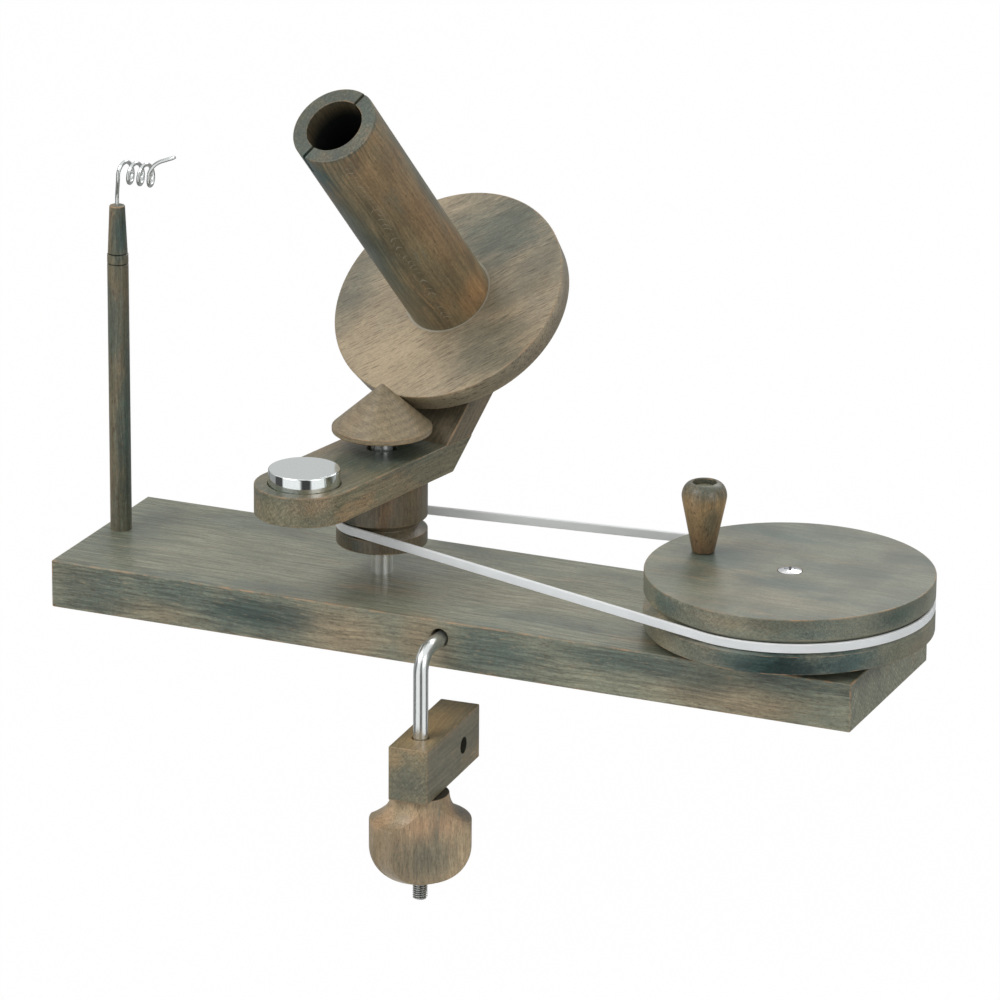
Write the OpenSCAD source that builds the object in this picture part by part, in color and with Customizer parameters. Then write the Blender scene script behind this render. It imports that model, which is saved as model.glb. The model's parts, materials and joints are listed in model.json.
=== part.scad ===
// Hand-cranked yarn ball winder with a belt drive and a table clamp.
// Frame: X runs along the board towards the drive wheel, Z is up, and the origin lies on the
// underside of the board, at its middle. Millimetres.

/* [Board] */
// Length of the board
board_l = 463; // [440:1:520]
// Width of the board
board_w = 118; // [100:1:140]
// Thickness of the board
board_t = 26.8; // [22:0.1:34]
// Chamfer along the edges of the board
board_chamfer = 0.8; // [0.4:0.1:3]

/* [Winding shaft] */
// Distance of the shaft from the left end of the board
shaft_from_end = 170.5; // [165:0.5:185]
// Diameter of the steel shaft
shaft_d = 12; // [10:0.5:14]
// Depth of the shaft in the board
shaft_depth = 20; // [12:0.5:20]
// Outer diameter of the collar on the shaft
collar_d = 20; // [18:0.5:22]
// Height of the collar
collar_h = 7; // [6:0.5:9]

/* [Flyer] */
// Direction of the arm at rest, in degrees from X
flyer_turn = 79.3; // [0:0.1:180]
// Height of the small pulley's underside above the board
pulley_lift = 17.5; // [12:0.1:30]
// Diameter of the small pulley
pulley_d = 49.6; // [44:0.2:60]
// Height of the small pulley's lower flange
pulley_flange_h = 7.6; // [5:0.1:12]
// Height of the groove's mouth in the small pulley
pulley_groove_h = 7.8; // [7:0.1:9]
// Depth of the groove in the small pulley
pulley_groove_deep = 5; // [4:0.1:6]
// Height of the small pulley above its groove
pulley_neck_h = 20.9; // [14:0.1:30]
// Thickness of the arm
arm_t = 16.5; // [14:0.5:22]
// Width of the arm
arm_w = 53.6; // [46:0.2:60]
// Diameter of the hole in the arm's top round the shaft
arm_hole_d = 15.8; // [14.5:0.1:18]
// Distance from the shaft to the counterweight
weight_reach = 71.5; // [60:0.5:85]
// Diameter of the counterweight
weight_d = 38.4; // [30:0.2:42]
// Height of the counterweight above the arm
weight_proud = 8.1; // [4:0.1:20]
// Depth of the counterweight's seat in the arm
weight_seat = 3; // [1:0.1:5]
// Distance from the shaft to the foot of the inclined plate
plate_foot = 22.8; // [22:0.2:32]
// Thickness of the inclined plate
plate_t = 16; // [14:0.5:20]

/* [Spindle] */
// Rise of the tube's axis above the level
spindle_rise = 48.2; // [44:0.2:52]
// Distance from the shaft to the middle of the disc's face
disc_reach = 61.8; // [60:0.2:70]
// Diameter of the disc's face
disc_d = 133.4; // [120:0.2:140]
// Thickness of the disc
disc_t = 14.5; // [11:0.1:16]
// Depth of the tube's seat in the disc
tube_seat = 6; // [4:0.1:7]
// Width of the tube's shoulder, which stands on the disc round the seat
tube_shoulder = 1.4; // [0.6:0.1:2.4]
// Length of the tube above the disc
tube_l = 159; // [120:1:180]
// Outer diameter of the tube
tube_d = 46.8; // [42:0.2:52]
// Bore of the tube
tube_bore_d = 31.2; // [29:0.2:36]
// Width of the saw cut across the tube's end
kerf_w = 1.8; // [0.8:0.1:3]
// Depth of the saw cut
kerf_deep = 14; // [6:1:30]
// Turn of the saw cut round the tube, in degrees
kerf_turn = 160; // [0:1:180]
// Diameter of the spindle's axle
axle_d = 10; // [8:0.5:11]

/* [Friction cone] */
// Height of the cone's underside above the arm's top
cone_lift = 9.6; // [9:0.1:12]
// Diameter of the cone
cone_d = 54.2; // [53:0.2:58]
// Height of the cone's straight rim
cone_rim_h = 3; // [2:0.1:4]
// Height of the cone's slope, up to the sharp point
cone_slope_h = 24.7; // [23:0.1:27]
// Radius of the cone's rounded tip
cone_tip_r = 4; // [2:0.5:6]

/* [Drive wheel] */
// Distance of the wheel's middle from the right end of the board
wheel_from_end = 57; // [48:0.5:60]
// Diameter of the wheel
wheel_d = 154; // [140:1:158]
// Gap between the board and the wheel
wheel_lift = 4.9; // [4:0.1:8]
// Height of the rim under the groove
wheel_low_h = 9.9; // [7:0.1:14]
// Height of the groove's mouth in the wheel
wheel_groove_h = 9.1; // [7.4:0.1:10]
// Depth of the groove in the wheel
wheel_groove_deep = 4.5; // [4:0.1:6]
// Height of the rim above the groove
wheel_top_h = 11.3; // [8:0.1:14]
// Diameter of the wheel screw's head
wheel_head_d = 12.8; // [11:0.1:15]
// Diameter of the wheel screw's shank
wheel_screw_d = 8; // [6:0.5:9]

/* [Grip] */
// Distance from the wheel's middle to the grip
grip_reach = 53; // [40:0.5:62]
// Direction of the grip from the wheel's middle, in degrees from X
grip_turn = 171; // [0:1:359]
// Height of the grip
grip_h = 39; // [34:0.2:50]
// Diameter of the grip's foot
grip_foot_d = 11.9; // [11:0.1:16]
// Largest diameter of the grip
grip_d = 24.2; // [21:0.2:30]
// Height of the grip's largest diameter
grip_belly_h = 31.3; // [26:0.1:33]
// Diameter of the recess in the grip's top
grip_recess_d = 12.7; // [11:0.1:15]
// Diameter of the grip's axle
grip_axle_d = 7; // [5:0.5:8]

/* [Belt] */
// Height of the belt
belt_h = 5; // [4:0.1:6]
// Thickness of the belt
belt_t = 1.8; // [1.2:0.1:2.4]

/* [Guide post] */
// Distance of the post from the left end of the board
post_from_end = 10.9; // [9:0.1:20]
// Offset of the post from the middle of the board's width
post_y = 4.2; // [-10:0.1:10]
// Height of the post above the board
post_h = 185.4; // [150:0.2:220]
// Diameter of the post's foot
post_foot_d = 11.9; // [10:0.1:14]
// Diameter of the post below its rings
post_d = 11.7; // [11:0.1:13]
// Diameter of the post above its rings
post_neck_d = 10.9; // [9.5:0.1:11]
// Diameter of the post's top
post_top_d = 8.5; // [7:0.1:10]
// Distance of the lower ring groove below the post's top
ring_down = 32.6; // [28:0.1:60]
// Distance between the two ring grooves
ring_apart = 5.6; // [3:0.1:10]
// Depth of the post in the board
post_depth = 16; // [10:0.5:20]
// Diameter of the guide wire
wire_d = 2.2; // [1.6:0.1:2.6]
// Mean radius of the guide wire's curls
curl_r = 5.6; // [4.6:0.1:7]
// Pitch of the guide wire's curls
curl_pitch = 6.15; // [5:0.05:8]
// Turns of the guide wire
curl_turns = 3; // [2:1:5]

/* [Clamp] */
// Diameter of the clamp rod's shank
rod_d = 8; // [6:0.1:8]
// Diameter of the clamp rod's thread
thread_d = 8; // [7.8:0.1:8.4]
// Pitch of the clamp rod's thread
thread_pitch = 1.25; // [1:0.25:1.5]
// Diameter of the rod's hole in the board's edge
rod_hole_d = 10; // [9:0.1:12]
// Depth of the rod's hole, at its middle, below the board's top
rod_hole_down = 9.8; // [8:0.1:14]
// Offset of the rod from the middle of the board's length
rod_x = -1; // [-40:0.5:40]
// Length of the rod inside the board
rod_in = 40; // [25:1:50]
// Distance of the rod's leg from the board's edge
rod_out = 23.6; // [18:0.1:32]
// Radius of the rod's bend
rod_bend_r = 11; // [8:0.5:14]
// Lowest point of the rod below the board's underside
rod_drop = 122.9; // [120:0.5:150]
// Length of the rod's thread
thread_l = 60; // [50:1:70]
// Gap between the board's underside and the jaw block
jaw_gap = 31.3; // [30:0.1:45]
// Length of the jaw block
jaw_l = 77; // [60:0.5:82]
// Length of the jaw block in front of the rod
jaw_front = 18.4; // [14:0.1:24]
// Width of the jaw block
jaw_w = 22.4; // [18:0.2:26]
// Height of the jaw block
jaw_h = 30.4; // [24:0.1:32]
// Turn of the jaw block on the rod at rest, in degrees
jaw_turn = 2.7; // [-10:0.1:10]
// Diameter of the rod's hole in the jaw block
jaw_hole_d = 9.5; // [9:0.1:11]
// Diameter of the cross hole in the jaw block
cross_hole_d = 9.2; // [6:0.1:11]
// Distance of the cross hole from the rod
cross_hole_reach = 34.5; // [20:0.5:45]
// Height of the knob
knob_h = 48; // [42:0.5:60]
// Largest diameter of the knob
knob_d = 54.8; // [48:0.2:60]
// Diameter of the knob's neck
knob_neck_d = 31; // [28:0.2:34]
// Height of the knob's cove, down to its lip
knob_cove_h = 14.6; // [10:0.1:18]
// Rounding of the knob's lip
knob_lip = 1.2; // [0.4:0.1:3]
// Height of the knob's straight side
knob_side_h = 15.5; // [8:0.5:18]
// Radius of the knob's foot
knob_foot_r = 11; // [9:0.5:15]
// Thickness of the knob across its flats
knob_flats = 31.2; // [30:0.2:36]
// Turn of the knob's flats, in degrees
knob_turn = -45; // [-90:1:90]

/* [Fits] */
// Radial clearance of what turns
run_gap = 0.05; // [0.02:0.01:0.1]
// Axial clearance of what turns
end_gap = 0.1; // [0.05:0.01:0.3]
// Clearance between surfaces that roll or slide near each other
roll_gap = 0.2; // [0.1:0.05:0.4]
// Clearance round glued and pressed pieces
glue_gap = 0.02; // [0:0.01:0.05]

/* [Hidden] */
$fn = 96;

wood_brown = [0.47, 0.43, 0.36];
wood_blue = [0.40, 0.42, 0.39];
wood_tan = [0.55, 0.48, 0.39];
steel = [0.78, 0.79, 0.80];
chrome = [0.90, 0.91, 0.92];
brass = [0.75, 0.60, 0.32];
belt_grey = [0.76, 0.80, 0.80];
nylon = [0.88, 0.87, 0.83];

shaft_x = -board_l / 2 + shaft_from_end;
wheel_x = board_l / 2 - wheel_from_end;
post_x = -board_l / 2 + post_from_end;

// Levels of the flyer, from the board up
pulley_z = board_t + pulley_lift;
pulley_h = pulley_flange_h + pulley_groove_h + pulley_neck_h;
pulley_belt_z = pulley_z + pulley_flange_h + pulley_groove_h / 2;
arm_z = pulley_z + pulley_h;
arm_top = arm_z + arm_t;
cone_z = arm_top + cone_lift;
cone_top_z = cone_z + cone_rim_h + cone_slope_h;
collar_seat_h = collar_h + end_gap;
set_screw_d = 4;
set_screw_sink = 0.6;
cone_edge = 0.8;
pulley_bush_d = shaft_d + 4;
pulley_bush_apart = 4;
pulley_bush_l = (pulley_h - collar_seat_h - pulley_bush_apart) / 2;
pulley_dowel_d = 6;
pulley_dowel_reach = pulley_bush_d / 2 + pulley_dowel_d / 2 + 5.5;
pulley_dowel_in = 11;
weight_screw_d = 5;
weight_screw_head_d = 9.5;
weight_screw_in = 7;
weight_screw_cross = [4.5, 1, 2.4];

// The disc's rim is bevelled to lie along the cone's slope
cone_angle = atan2(cone_slope_h, cone_d / 2);
rim_bevel = spindle_rise - cone_angle;
disc_back_r = disc_d / 2 - disc_t * tan(rim_bevel);
disc_low_x = disc_reach - disc_d / 2 * sin(spindle_rise) - cone_d / 2;
disc_z = cone_z + cone_rim_h + disc_d / 2 * cos(spindle_rise)
    + (roll_gap - disc_low_x * sin(cone_angle)) / cos(cone_angle);

// The plate's inner face, measured from the disc's face back along the spindle's axis
plate_in = (disc_reach - plate_foot) * -cos(spindle_rise) + (disc_z - arm_top) * sin(spindle_rise);
plate_out = plate_in + plate_t;
plate_foot_run = (disc_reach - plate_foot) * sin(spindle_rise)
    + (disc_z - arm_top) * cos(spindle_rise);
plate_seam_run = plate_foot_run - plate_t / 2 * tan(spindle_rise);
plate_dowel_d = 8;
plate_dowel_l = 30;
plate_dowel_y = arm_w / 4;

bush_wall = 3;
spindle_bush_d = axle_d + 2 * bush_wall;
spindle_bush_flange_d = tube_bore_d - 2;
tube_foot_d = tube_d - 2 * tube_shoulder;
spindle_bush_flange_h = 3;
spindle_bush_front = 8;
disc_web = disc_t - tube_seat;
disc_edge = 0.5;
washer_t = 1.6;
axle_head_h = 6;
axle_head_d = axle_d * 1.7;
axle_nut_h = 8;
axle_nut_d = axle_d * 1.95;
axle_tail = 3;

// Levels of the wheel
wheel_z = board_t + wheel_lift;
wheel_h = wheel_low_h + wheel_groove_h + wheel_top_h;
wheel_top = wheel_z + wheel_h;
wheel_belt_z = wheel_z + wheel_low_h + wheel_groove_h / 2;
wheel_cone_h = (wheel_head_d - wheel_screw_d) / 2;
wheel_head_rim = 0.4;
wheel_head_dome = 1.1;
wheel_head_cross = [7, 1.3, 4.4];
wheel_head_turn = 20;
wheel_bush_d = wheel_screw_d + 5;
wheel_bush_drop = wheel_cone_h + wheel_head_rim + 1;
wheel_insert_d = 13;
wheel_insert_l = 16;
wheel_spacer_d = 34;
head_gap = 0.3;

grip_x = wheel_x + grip_reach * cos(grip_turn);
grip_y = grip_reach * sin(grip_turn);
grip_recess_h = 5.4;
grip_head_edge = 0.5;
grip_head_h = 2.6;
grip_axle_in = 20;
grip_shoulder_r = 5.5;
grip_edge = 0.4;
grip_swell = 2.5;

// The belt lies where each groove is as wide as the belt and a clearance
belt_groove_h = belt_h + 2 * roll_gap;
belt_wheel_in = (wheel_groove_h - belt_groove_h) / wheel_groove_h * wheel_groove_deep;
belt_pulley_in = (pulley_groove_h - belt_groove_h) / pulley_groove_h * pulley_groove_deep;
belt_wheel_r = wheel_d / 2 - belt_wheel_in + belt_t / 2;
belt_pulley_r = pulley_d / 2 - belt_pulley_in + belt_t / 2;
belt_angle = asin((belt_wheel_r - belt_pulley_r) / (wheel_x - shaft_x));
belt_wheel_steps = 42;
belt_pulley_steps = 18;

post_top = board_t + post_h;
ring_low = post_h - ring_down;
ring_high = ring_low + ring_apart;
ring_h = 0.9;
ring_deep = 0.5;
post_edge = 0.5;
post_hole_d = post_foot_d + 2 * run_gap;

// The guide wire stands in the post, leans to the curls' near side and runs off upwards
wire_sides = 6;
wire_hole_d = wire_d / cos(180 / wire_sides) + 2 * glue_gap;
curl_rings = 8;
curl_steps = curl_turns * curl_rings;
curl_rise = 19.2;
curl_run = 3.6;
curl_x = post_x + curl_run;
curl_z = post_top + curl_rise;
curl_end_x = curl_x + curl_pitch * curl_turns;
free_end_x = 14.4;
free_end_z = 11.7;
free_tip_x = 16;
free_tip_z = 13.6;
wire_in = 18;
wire_straight = 3;
lean_steps = 6;

// The rod lies on the bottom of its hole
rod_hole_z = board_t - rod_hole_down;
rod_z = rod_hole_z - rod_hole_d / 2 + rod_d / 2 + end_gap;
rod_y = -board_w / 2 - rod_out;
rod_hole_deep = rod_in + 6;
thread_deep = 0.5;
jaw_z = -jaw_gap;
jaw_edge = 0.6;
washer_d = 20;
washer_hole_d = thread_d + 0.6;
washer_sink = washer_t - 0.1;
knob_z = jaw_z - jaw_h + washer_sink - washer_t - end_gap;
knob_bore_d = thread_d + 1;
insert_d = 14;
insert_l = 18;
insert_up = 4;

module base_board() {
    color(wood_blue) difference() {
        chamfered_block(board_l, board_w, board_t, board_chamfer);
        translate([shaft_x, 0, board_t - shaft_depth])
            cylinder(d = shaft_d + 2 * glue_gap, h = shaft_depth + 1);
        translate([post_x, post_y, board_t - post_depth - end_gap])
            cylinder(d = post_hole_d, h = post_depth + 1);
        translate([wheel_x, 0, board_t - wheel_insert_l])
            cylinder(d = wheel_insert_d + 2 * glue_gap, h = wheel_insert_l + 1);
        translate([rod_x, -board_w / 2 - 1, rod_hole_z])
            rotate([-90, 0, 0]) cylinder(d = rod_hole_d, h = rod_hole_deep + 1);
    }
}

// A block whose twelve edges are chamfered, standing on the XY plane about the Z axis
module chamfered_block(l, w, t, c) {
    intersection() {
        linear_extrude(t) chamfered_plate(l, w, c);
        translate([-l / 2, 0, t / 2]) rotate([90, 0, 90]) linear_extrude(l) chamfered_plate(w, t, c);
        translate([0, w / 2, t / 2]) rotate([90, 0, 0]) linear_extrude(w) chamfered_plate(l, t, c);
    }
}

module chamfered_plate(a, b, c) {
    polygon([
        [-a / 2 + c, -b / 2], [a / 2 - c, -b / 2], [a / 2, -b / 2 + c], [a / 2, b / 2 - c],
        [a / 2 - c, b / 2], [-a / 2 + c, b / 2], [-a / 2, b / 2 - c], [-a / 2, -b / 2 + c]
    ]);
}

module at_shaft() {
    translate([shaft_x, 0, 0]) children();
}

module on_flyer() {
    at_shaft() rotate([0, 0, flyer_turn]) children();
}

// Z runs up the spindle's axis from the disc's face, and X up the inclined plate
module on_spindle() {
    on_flyer() translate([disc_reach, 0, disc_z]) rotate([0, spindle_rise - 90, 0]) children();
}

module on_wheel() {
    translate([wheel_x, 0, 0]) children();
}

module at_grip() {
    translate([grip_x, grip_y, wheel_top]) children();
}

module at_rod() {
    translate([rod_x, rod_y, 0]) children();
}

module on_jaw() {
    at_rod() rotate([0, 0, jaw_turn]) children();
}

module ring(outer_d, inner_d, h) {
    difference() {
        cylinder(d = outer_d, h = h);
        translate([0, 0, -1]) cylinder(d = inner_d, h = h + 2);
    }
}

module winding_shaft() {
    color(steel) at_shaft() translate([0, 0, board_t - shaft_depth])
        cylinder(d = shaft_d, h = shaft_depth - board_t + cone_z + cone_rim_h + cone_slope_h / 2);
}

module shaft_collar() {
    color(steel) at_shaft() difference() {
        translate([0, 0, pulley_z + collar_seat_h - end_gap - collar_h])
            ring(collar_d, shaft_d + 2 * glue_gap, collar_h);
        set_screw_rod(0, collar_d, set_screw_d);
    }
}

// A rod across the collar, from one distance from the shaft's middle to another
module set_screw_rod(from, to, d) {
    translate([from, 0, pulley_z + collar_h / 2]) rotate([0, 90, 0]) cylinder(d = d, h = to - from);
}

module collar_set_screw() {
    color(steel) at_shaft() set_screw_rod(shaft_d / 2 + glue_gap, collar_d / 2 - set_screw_sink,
        set_screw_d - 2 * glue_gap);
}

// Points of an arc about a middle, from one angle to another
function arc(mid, r, from, to, steps) =
    [for (i = [0:steps]) let (a = from + (to - from) * i / steps) mid + r * [cos(a), sin(a)]];

module friction_cone() {
    r = cone_d / 2;
    tip_z = cone_rim_h + cone_slope_h - cone_tip_r / cos(cone_angle);
    color(wood_tan) at_shaft() translate([0, 0, cone_z]) difference() {
        rotate_extrude() polygon(concat(
            [[0, 0], [r - cone_edge, 0], [r, cone_edge], [r, cone_rim_h]],
            arc([0, tip_z], cone_tip_r, 90 - cone_angle, 90, 5)));
        translate([0, 0, -1])
            cylinder(d = shaft_d + 2 * glue_gap, h = 1 + cone_rim_h + cone_slope_h / 2 + glue_gap);
    }
}

// A turned wheel with a V groove, standing on the XY plane
module grooved_wheel(d, low_h, groove_h, groove_deep, top_h, bevel) {
    r = d / 2;
    h = low_h + groove_h + top_h;
    rotate_extrude() polygon([
        [0, 0], [r - bevel, 0], [r, bevel], [r, low_h],
        [r - groove_deep, low_h + groove_h / 2], [r, low_h + groove_h],
        [r, h - bevel], [r - bevel, h], [0, h]
    ]);
}

module small_pulley() {
    color(wood_brown) at_shaft() difference() {
        translate([0, 0, pulley_z]) grooved_wheel(
            pulley_d, pulley_flange_h, pulley_groove_h, pulley_groove_deep, pulley_neck_h, 0.4);
        translate([0, 0, pulley_z - 1]) cylinder(d = collar_d + 2, h = 1 + collar_seat_h);
        translate([0, 0, pulley_z]) cylinder(d = pulley_bush_d + 2 * glue_gap, h = pulley_h + 1);
        pulley_dowel_pair(0);
    }
}

module pulley_dowel_pair(shrink) {
    for (side = [-1, 1]) rotate([0, 0, flyer_turn])
        translate([0, side * pulley_dowel_reach, arm_z - pulley_dowel_in])
            cylinder(d = pulley_dowel_d - 2 * shrink, h = 2 * pulley_dowel_in);
}

module pulley_dowels() {
    color(wood_tan) at_shaft() pulley_dowel_pair(glue_gap);
}

module pulley_bushes() {
    low = pulley_z + collar_seat_h;
    color(brass) at_shaft() for (z = [low, arm_z - pulley_bush_l])
        translate([0, 0, z]) ring(pulley_bush_d, shaft_d + 2 * run_gap, pulley_bush_l);
}

module flyer_arm() {
    color(wood_brown) difference() {
        on_flyer() translate([0, 0, arm_z]) linear_extrude(arm_t) union() {
            translate([-weight_reach, 0]) circle(d = arm_w);
            translate([-weight_reach, -arm_w / 2]) square([weight_reach + 2 * plate_foot_run, arm_w]);
        }
        behind_plate();
        at_shaft() translate([0, 0, arm_z - 1]) cylinder(d = arm_hole_d, h = arm_t + 2);
        at_shaft() pulley_dowel_pair(0);
        on_spindle() plate_dowel_pair(0);
        on_flyer() translate([-weight_reach, 0, 0]) {
            translate([0, 0, arm_top - weight_seat])
                cylinder(d = weight_d + 4 * roll_gap, h = weight_seat + 1);
            weight_screw_body(0.3);
        }
    }
}

// Everything behind the inclined plate's outer face
module behind_plate() {
    on_spindle() translate([-disc_d * 2, -arm_w, -plate_out - disc_d * 2])
        cube([disc_d * 4, arm_w * 2, disc_d * 2]);
}

module flyer_plate() {
    color(wood_brown) difference() {
        on_spindle() difference() {
            translate([0, 0, -plate_out]) linear_extrude(plate_t) union() {
                circle(d = arm_w);
                translate([-2 * plate_foot_run, -arm_w / 2]) square([2 * plate_foot_run, arm_w]);
            }
            translate([0, 0, -plate_out - 1]) cylinder(d = axle_d + 2 * glue_gap, h = plate_t + 2);
            plate_dowel_pair(0);
        }
        on_flyer() translate([-disc_d, -arm_w, arm_top - disc_d * 2])
            cube([disc_d * 4, arm_w * 2, disc_d * 2]);
    }
}

module plate_dowel_pair(shrink) {
    for (side = [-1, 1])
        translate([-plate_seam_run - plate_dowel_l / 2, side * plate_dowel_y, -plate_in - plate_t / 2])
            rotate([0, 90, 0]) cylinder(d = plate_dowel_d - 2 * shrink, h = plate_dowel_l);
}

module plate_dowels() {
    color(wood_tan) on_spindle() plate_dowel_pair(glue_gap);
}

module counterweight() {
    h = weight_seat + weight_proud;
    edge = 0.6;
    color(chrome) on_flyer() translate([-weight_reach, 0, arm_top - weight_seat]) difference() {
        rotate_extrude() polygon(concat(
            [[0, 0], [weight_d / 2, 0]],
            arc([weight_d / 2 - edge, h - edge], edge, 0, 90, 4), [[0, h]]));
        translate([0, 0, -1]) cylinder(d = weight_screw_d, h = weight_screw_in + 2);
    }
}

// Countersunk screw that holds the counterweight from under the arm
module weight_screw_body(gap) {
    r = weight_screw_d / 2 + gap;
    head_r = weight_screw_head_d / 2 + gap;
    end = arm_top - weight_seat + (gap > 0 ? 0 : weight_screw_in);
    translate([0, 0, arm_z]) cylinder(r1 = head_r, r2 = r, h = head_r - r);
    if (gap > 0) translate([0, 0, arm_z - 1]) cylinder(r = head_r, h = 1);
    translate([0, 0, arm_z + 1]) cylinder(r = r, h = end - arm_z - 1);
}

module counterweight_screw() {
    color(steel) on_flyer() translate([-weight_reach, 0, 0]) difference() {
        weight_screw_body(-glue_gap);
        for (turn = [0, 90]) translate([0, 0, arm_z]) rotate([0, 0, turn])
            cube(weight_screw_cross, center = true);
    }
}

module spindle_disc() {
    color(wood_tan) on_spindle() difference() {
        rotate_extrude() polygon([
            [0, -disc_t], [disc_back_r - disc_edge, -disc_t],
            [disc_back_r + disc_edge * tan(rim_bevel), -disc_t + disc_edge],
            [disc_d / 2 - disc_edge * tan(rim_bevel), -disc_edge], [disc_d / 2 - disc_edge, 0], [0, 0]
        ]);
        translate([0, 0, -tube_seat]) cylinder(d = tube_foot_d + 2 * glue_gap, h = tube_seat + 1);
        translate([0, 0, -disc_t - 1]) cylinder(d = spindle_bush_d + 2 * glue_gap, h = disc_t);
    }
}

module winding_tube() {
    color(wood_brown) on_spindle() difference() {
        rotate_extrude() polygon([
            [tube_bore_d / 2, -tube_seat], [tube_foot_d / 2, -tube_seat], [tube_foot_d / 2, 0],
            [tube_d / 2, 0], [tube_d / 2, tube_l], [tube_bore_d / 2, tube_l]
        ]);
        rotate([0, 0, kerf_turn]) translate([-tube_d, -kerf_w / 2, tube_l - kerf_deep])
            cube([tube_d * 2, kerf_w, kerf_deep + 1]);
    }
}

module spindle_bush() {
    l = disc_t + spindle_bush_front;
    color(brass) on_spindle() translate([0, 0, -disc_t]) difference() {
        union() {
            cylinder(d = spindle_bush_d, h = l);
            translate([0, 0, disc_web + glue_gap])
                cylinder(d = spindle_bush_flange_d, h = spindle_bush_flange_h);
        }
        translate([0, 0, -1]) cylinder(d = axle_d + 2 * run_gap, h = l + 2);
    }
}

module spindle_spacer() {
    color(steel) on_spindle() translate([0, 0, -plate_in])
        ring(axle_d + 9, axle_d + 2 * glue_gap, plate_in - disc_t - end_gap);
}

// Hexagonal bolt whose head lies in the tube and whose end carries the nut behind the plate
module spindle_axle() {
    under_head = spindle_bush_front + end_gap + washer_t;
    tail = plate_out + washer_t + axle_nut_h + axle_tail;
    color(steel) on_spindle() {
        translate([0, 0, -tail]) cylinder(d = axle_d, h = tail + under_head + axle_head_h / 2);
        translate([0, 0, under_head]) cylinder(d = axle_head_d, h = axle_head_h, $fn = 6);
    }
}

module axle_washers() {
    color(steel) on_spindle() for (z = [spindle_bush_front + end_gap, -plate_out - washer_t])
        translate([0, 0, z]) ring(axle_d * 2, axle_d + 2 * glue_gap, washer_t);
}

module axle_nut() {
    color(steel) on_spindle() translate([0, 0, -plate_out - washer_t - axle_nut_h]) difference() {
        cylinder(d = axle_nut_d, h = axle_nut_h, $fn = 6);
        translate([0, 0, -1]) cylinder(d = axle_d + 2 * glue_gap, h = axle_nut_h + 2);
    }
}

module drive_wheel() {
    color(wood_blue) difference() {
        on_wheel() difference() {
            translate([0, 0, wheel_z]) grooved_wheel(
                wheel_d, wheel_low_h, wheel_groove_h, wheel_groove_deep, wheel_top_h, 0.8);
            translate([0, 0, wheel_z - 1]) cylinder(d = wheel_bush_d + 2 * glue_gap,
                h = wheel_h - wheel_bush_drop + 1);
            translate([0, 0, wheel_z]) cylinder(d = wheel_screw_d + 2 * head_gap, h = wheel_h + 1);
            translate([0, 0, wheel_top]) rotate_extrude() polygon([
                [0, 1], [wheel_head_d / 2 + head_gap, 1],
                [wheel_head_d / 2 + head_gap, -wheel_head_rim],
                [wheel_screw_d / 2 + head_gap, -wheel_head_rim - wheel_cone_h],
                [0, -wheel_head_rim - wheel_cone_h]
            ]);
        }
        at_grip() translate([0, 0, -grip_axle_in])
            cylinder(d = grip_axle_d + 2 * glue_gap, h = grip_axle_in + 1);
    }
}

module wheel_bush() {
    color(brass) on_wheel() translate([0, 0, wheel_z])
        ring(wheel_bush_d, wheel_screw_d + 2 * run_gap, wheel_h - wheel_bush_drop);
}

// Raised countersunk screw, on which the wheel turns
module wheel_screw() {
    r = wheel_head_d / 2;
    dome_r = (r * r + wheel_head_dome * wheel_head_dome) / (2 * wheel_head_dome);
    dome_from = asin(r / dome_r);
    low = board_t - wheel_insert_l + 1;
    color(chrome) on_wheel() difference() {
        union() {
            translate([0, 0, low]) cylinder(d = wheel_screw_d, h = wheel_top - low - 1);
            translate([0, 0, wheel_top]) rotate_extrude() polygon(concat(
                [[0, -wheel_head_rim - wheel_cone_h],
                 [wheel_screw_d / 2, -wheel_head_rim - wheel_cone_h], [r, -wheel_head_rim]],
                arc([0, wheel_head_dome - dome_r], dome_r, 90 - dome_from, 90, 6)));
        }
        for (turn = [0, 90]) translate([0, 0, wheel_top + wheel_head_dome])
            rotate([0, 0, wheel_head_turn + turn]) cube(wheel_head_cross, center = true);
    }
}

module wheel_insert() {
    color(brass) on_wheel() translate([0, 0, board_t - wheel_insert_l])
        ring(wheel_insert_d, wheel_screw_d + 2 * glue_gap, wheel_insert_l);
}

module wheel_spacer() {
    color(nylon) on_wheel() translate([0, 0, board_t])
        ring(wheel_spacer_d, wheel_screw_d + 2 * glue_gap, wheel_lift - end_gap);
}

module crank_grip() {
    r = grip_d / 2;
    foot_r = grip_foot_d / 2;
    flat_r = r - grip_shoulder_r;
    top_h = grip_h - grip_belly_h;
    color(wood_brown) at_grip() difference() {
        rotate_extrude() polygon(concat(
            [[0, roll_gap], [foot_r - grip_edge, roll_gap], [foot_r, roll_gap + grip_edge],
             [r - grip_edge, grip_belly_h - grip_swell]],
            [for (a = [0:10:90]) [flat_r + grip_shoulder_r * cos(a), grip_belly_h + top_h * sin(a)]],
            [[0, grip_h]]));
        translate([0, 0, -1]) cylinder(d = grip_axle_d + 2 * run_gap, h = grip_h + 2);
        translate([0, 0, grip_h - grip_recess_h]) cylinder(d = grip_recess_d, h = grip_recess_h + 1);
    }
}

module grip_axle() {
    head_z = grip_h - grip_recess_h + end_gap;
    head_r = grip_recess_d / 2 - roll_gap;
    color(wood_tan) at_grip() {
        translate([0, 0, -grip_axle_in]) cylinder(d = grip_axle_d, h = grip_axle_in + head_z + 1);
        translate([0, 0, head_z]) rotate_extrude() polygon([
            [0, 0], [head_r, 0], [head_r, grip_head_h - grip_head_edge],
            [head_r - grip_head_edge, grip_head_h], [0, grip_head_h]
        ]);
    }
}

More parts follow.
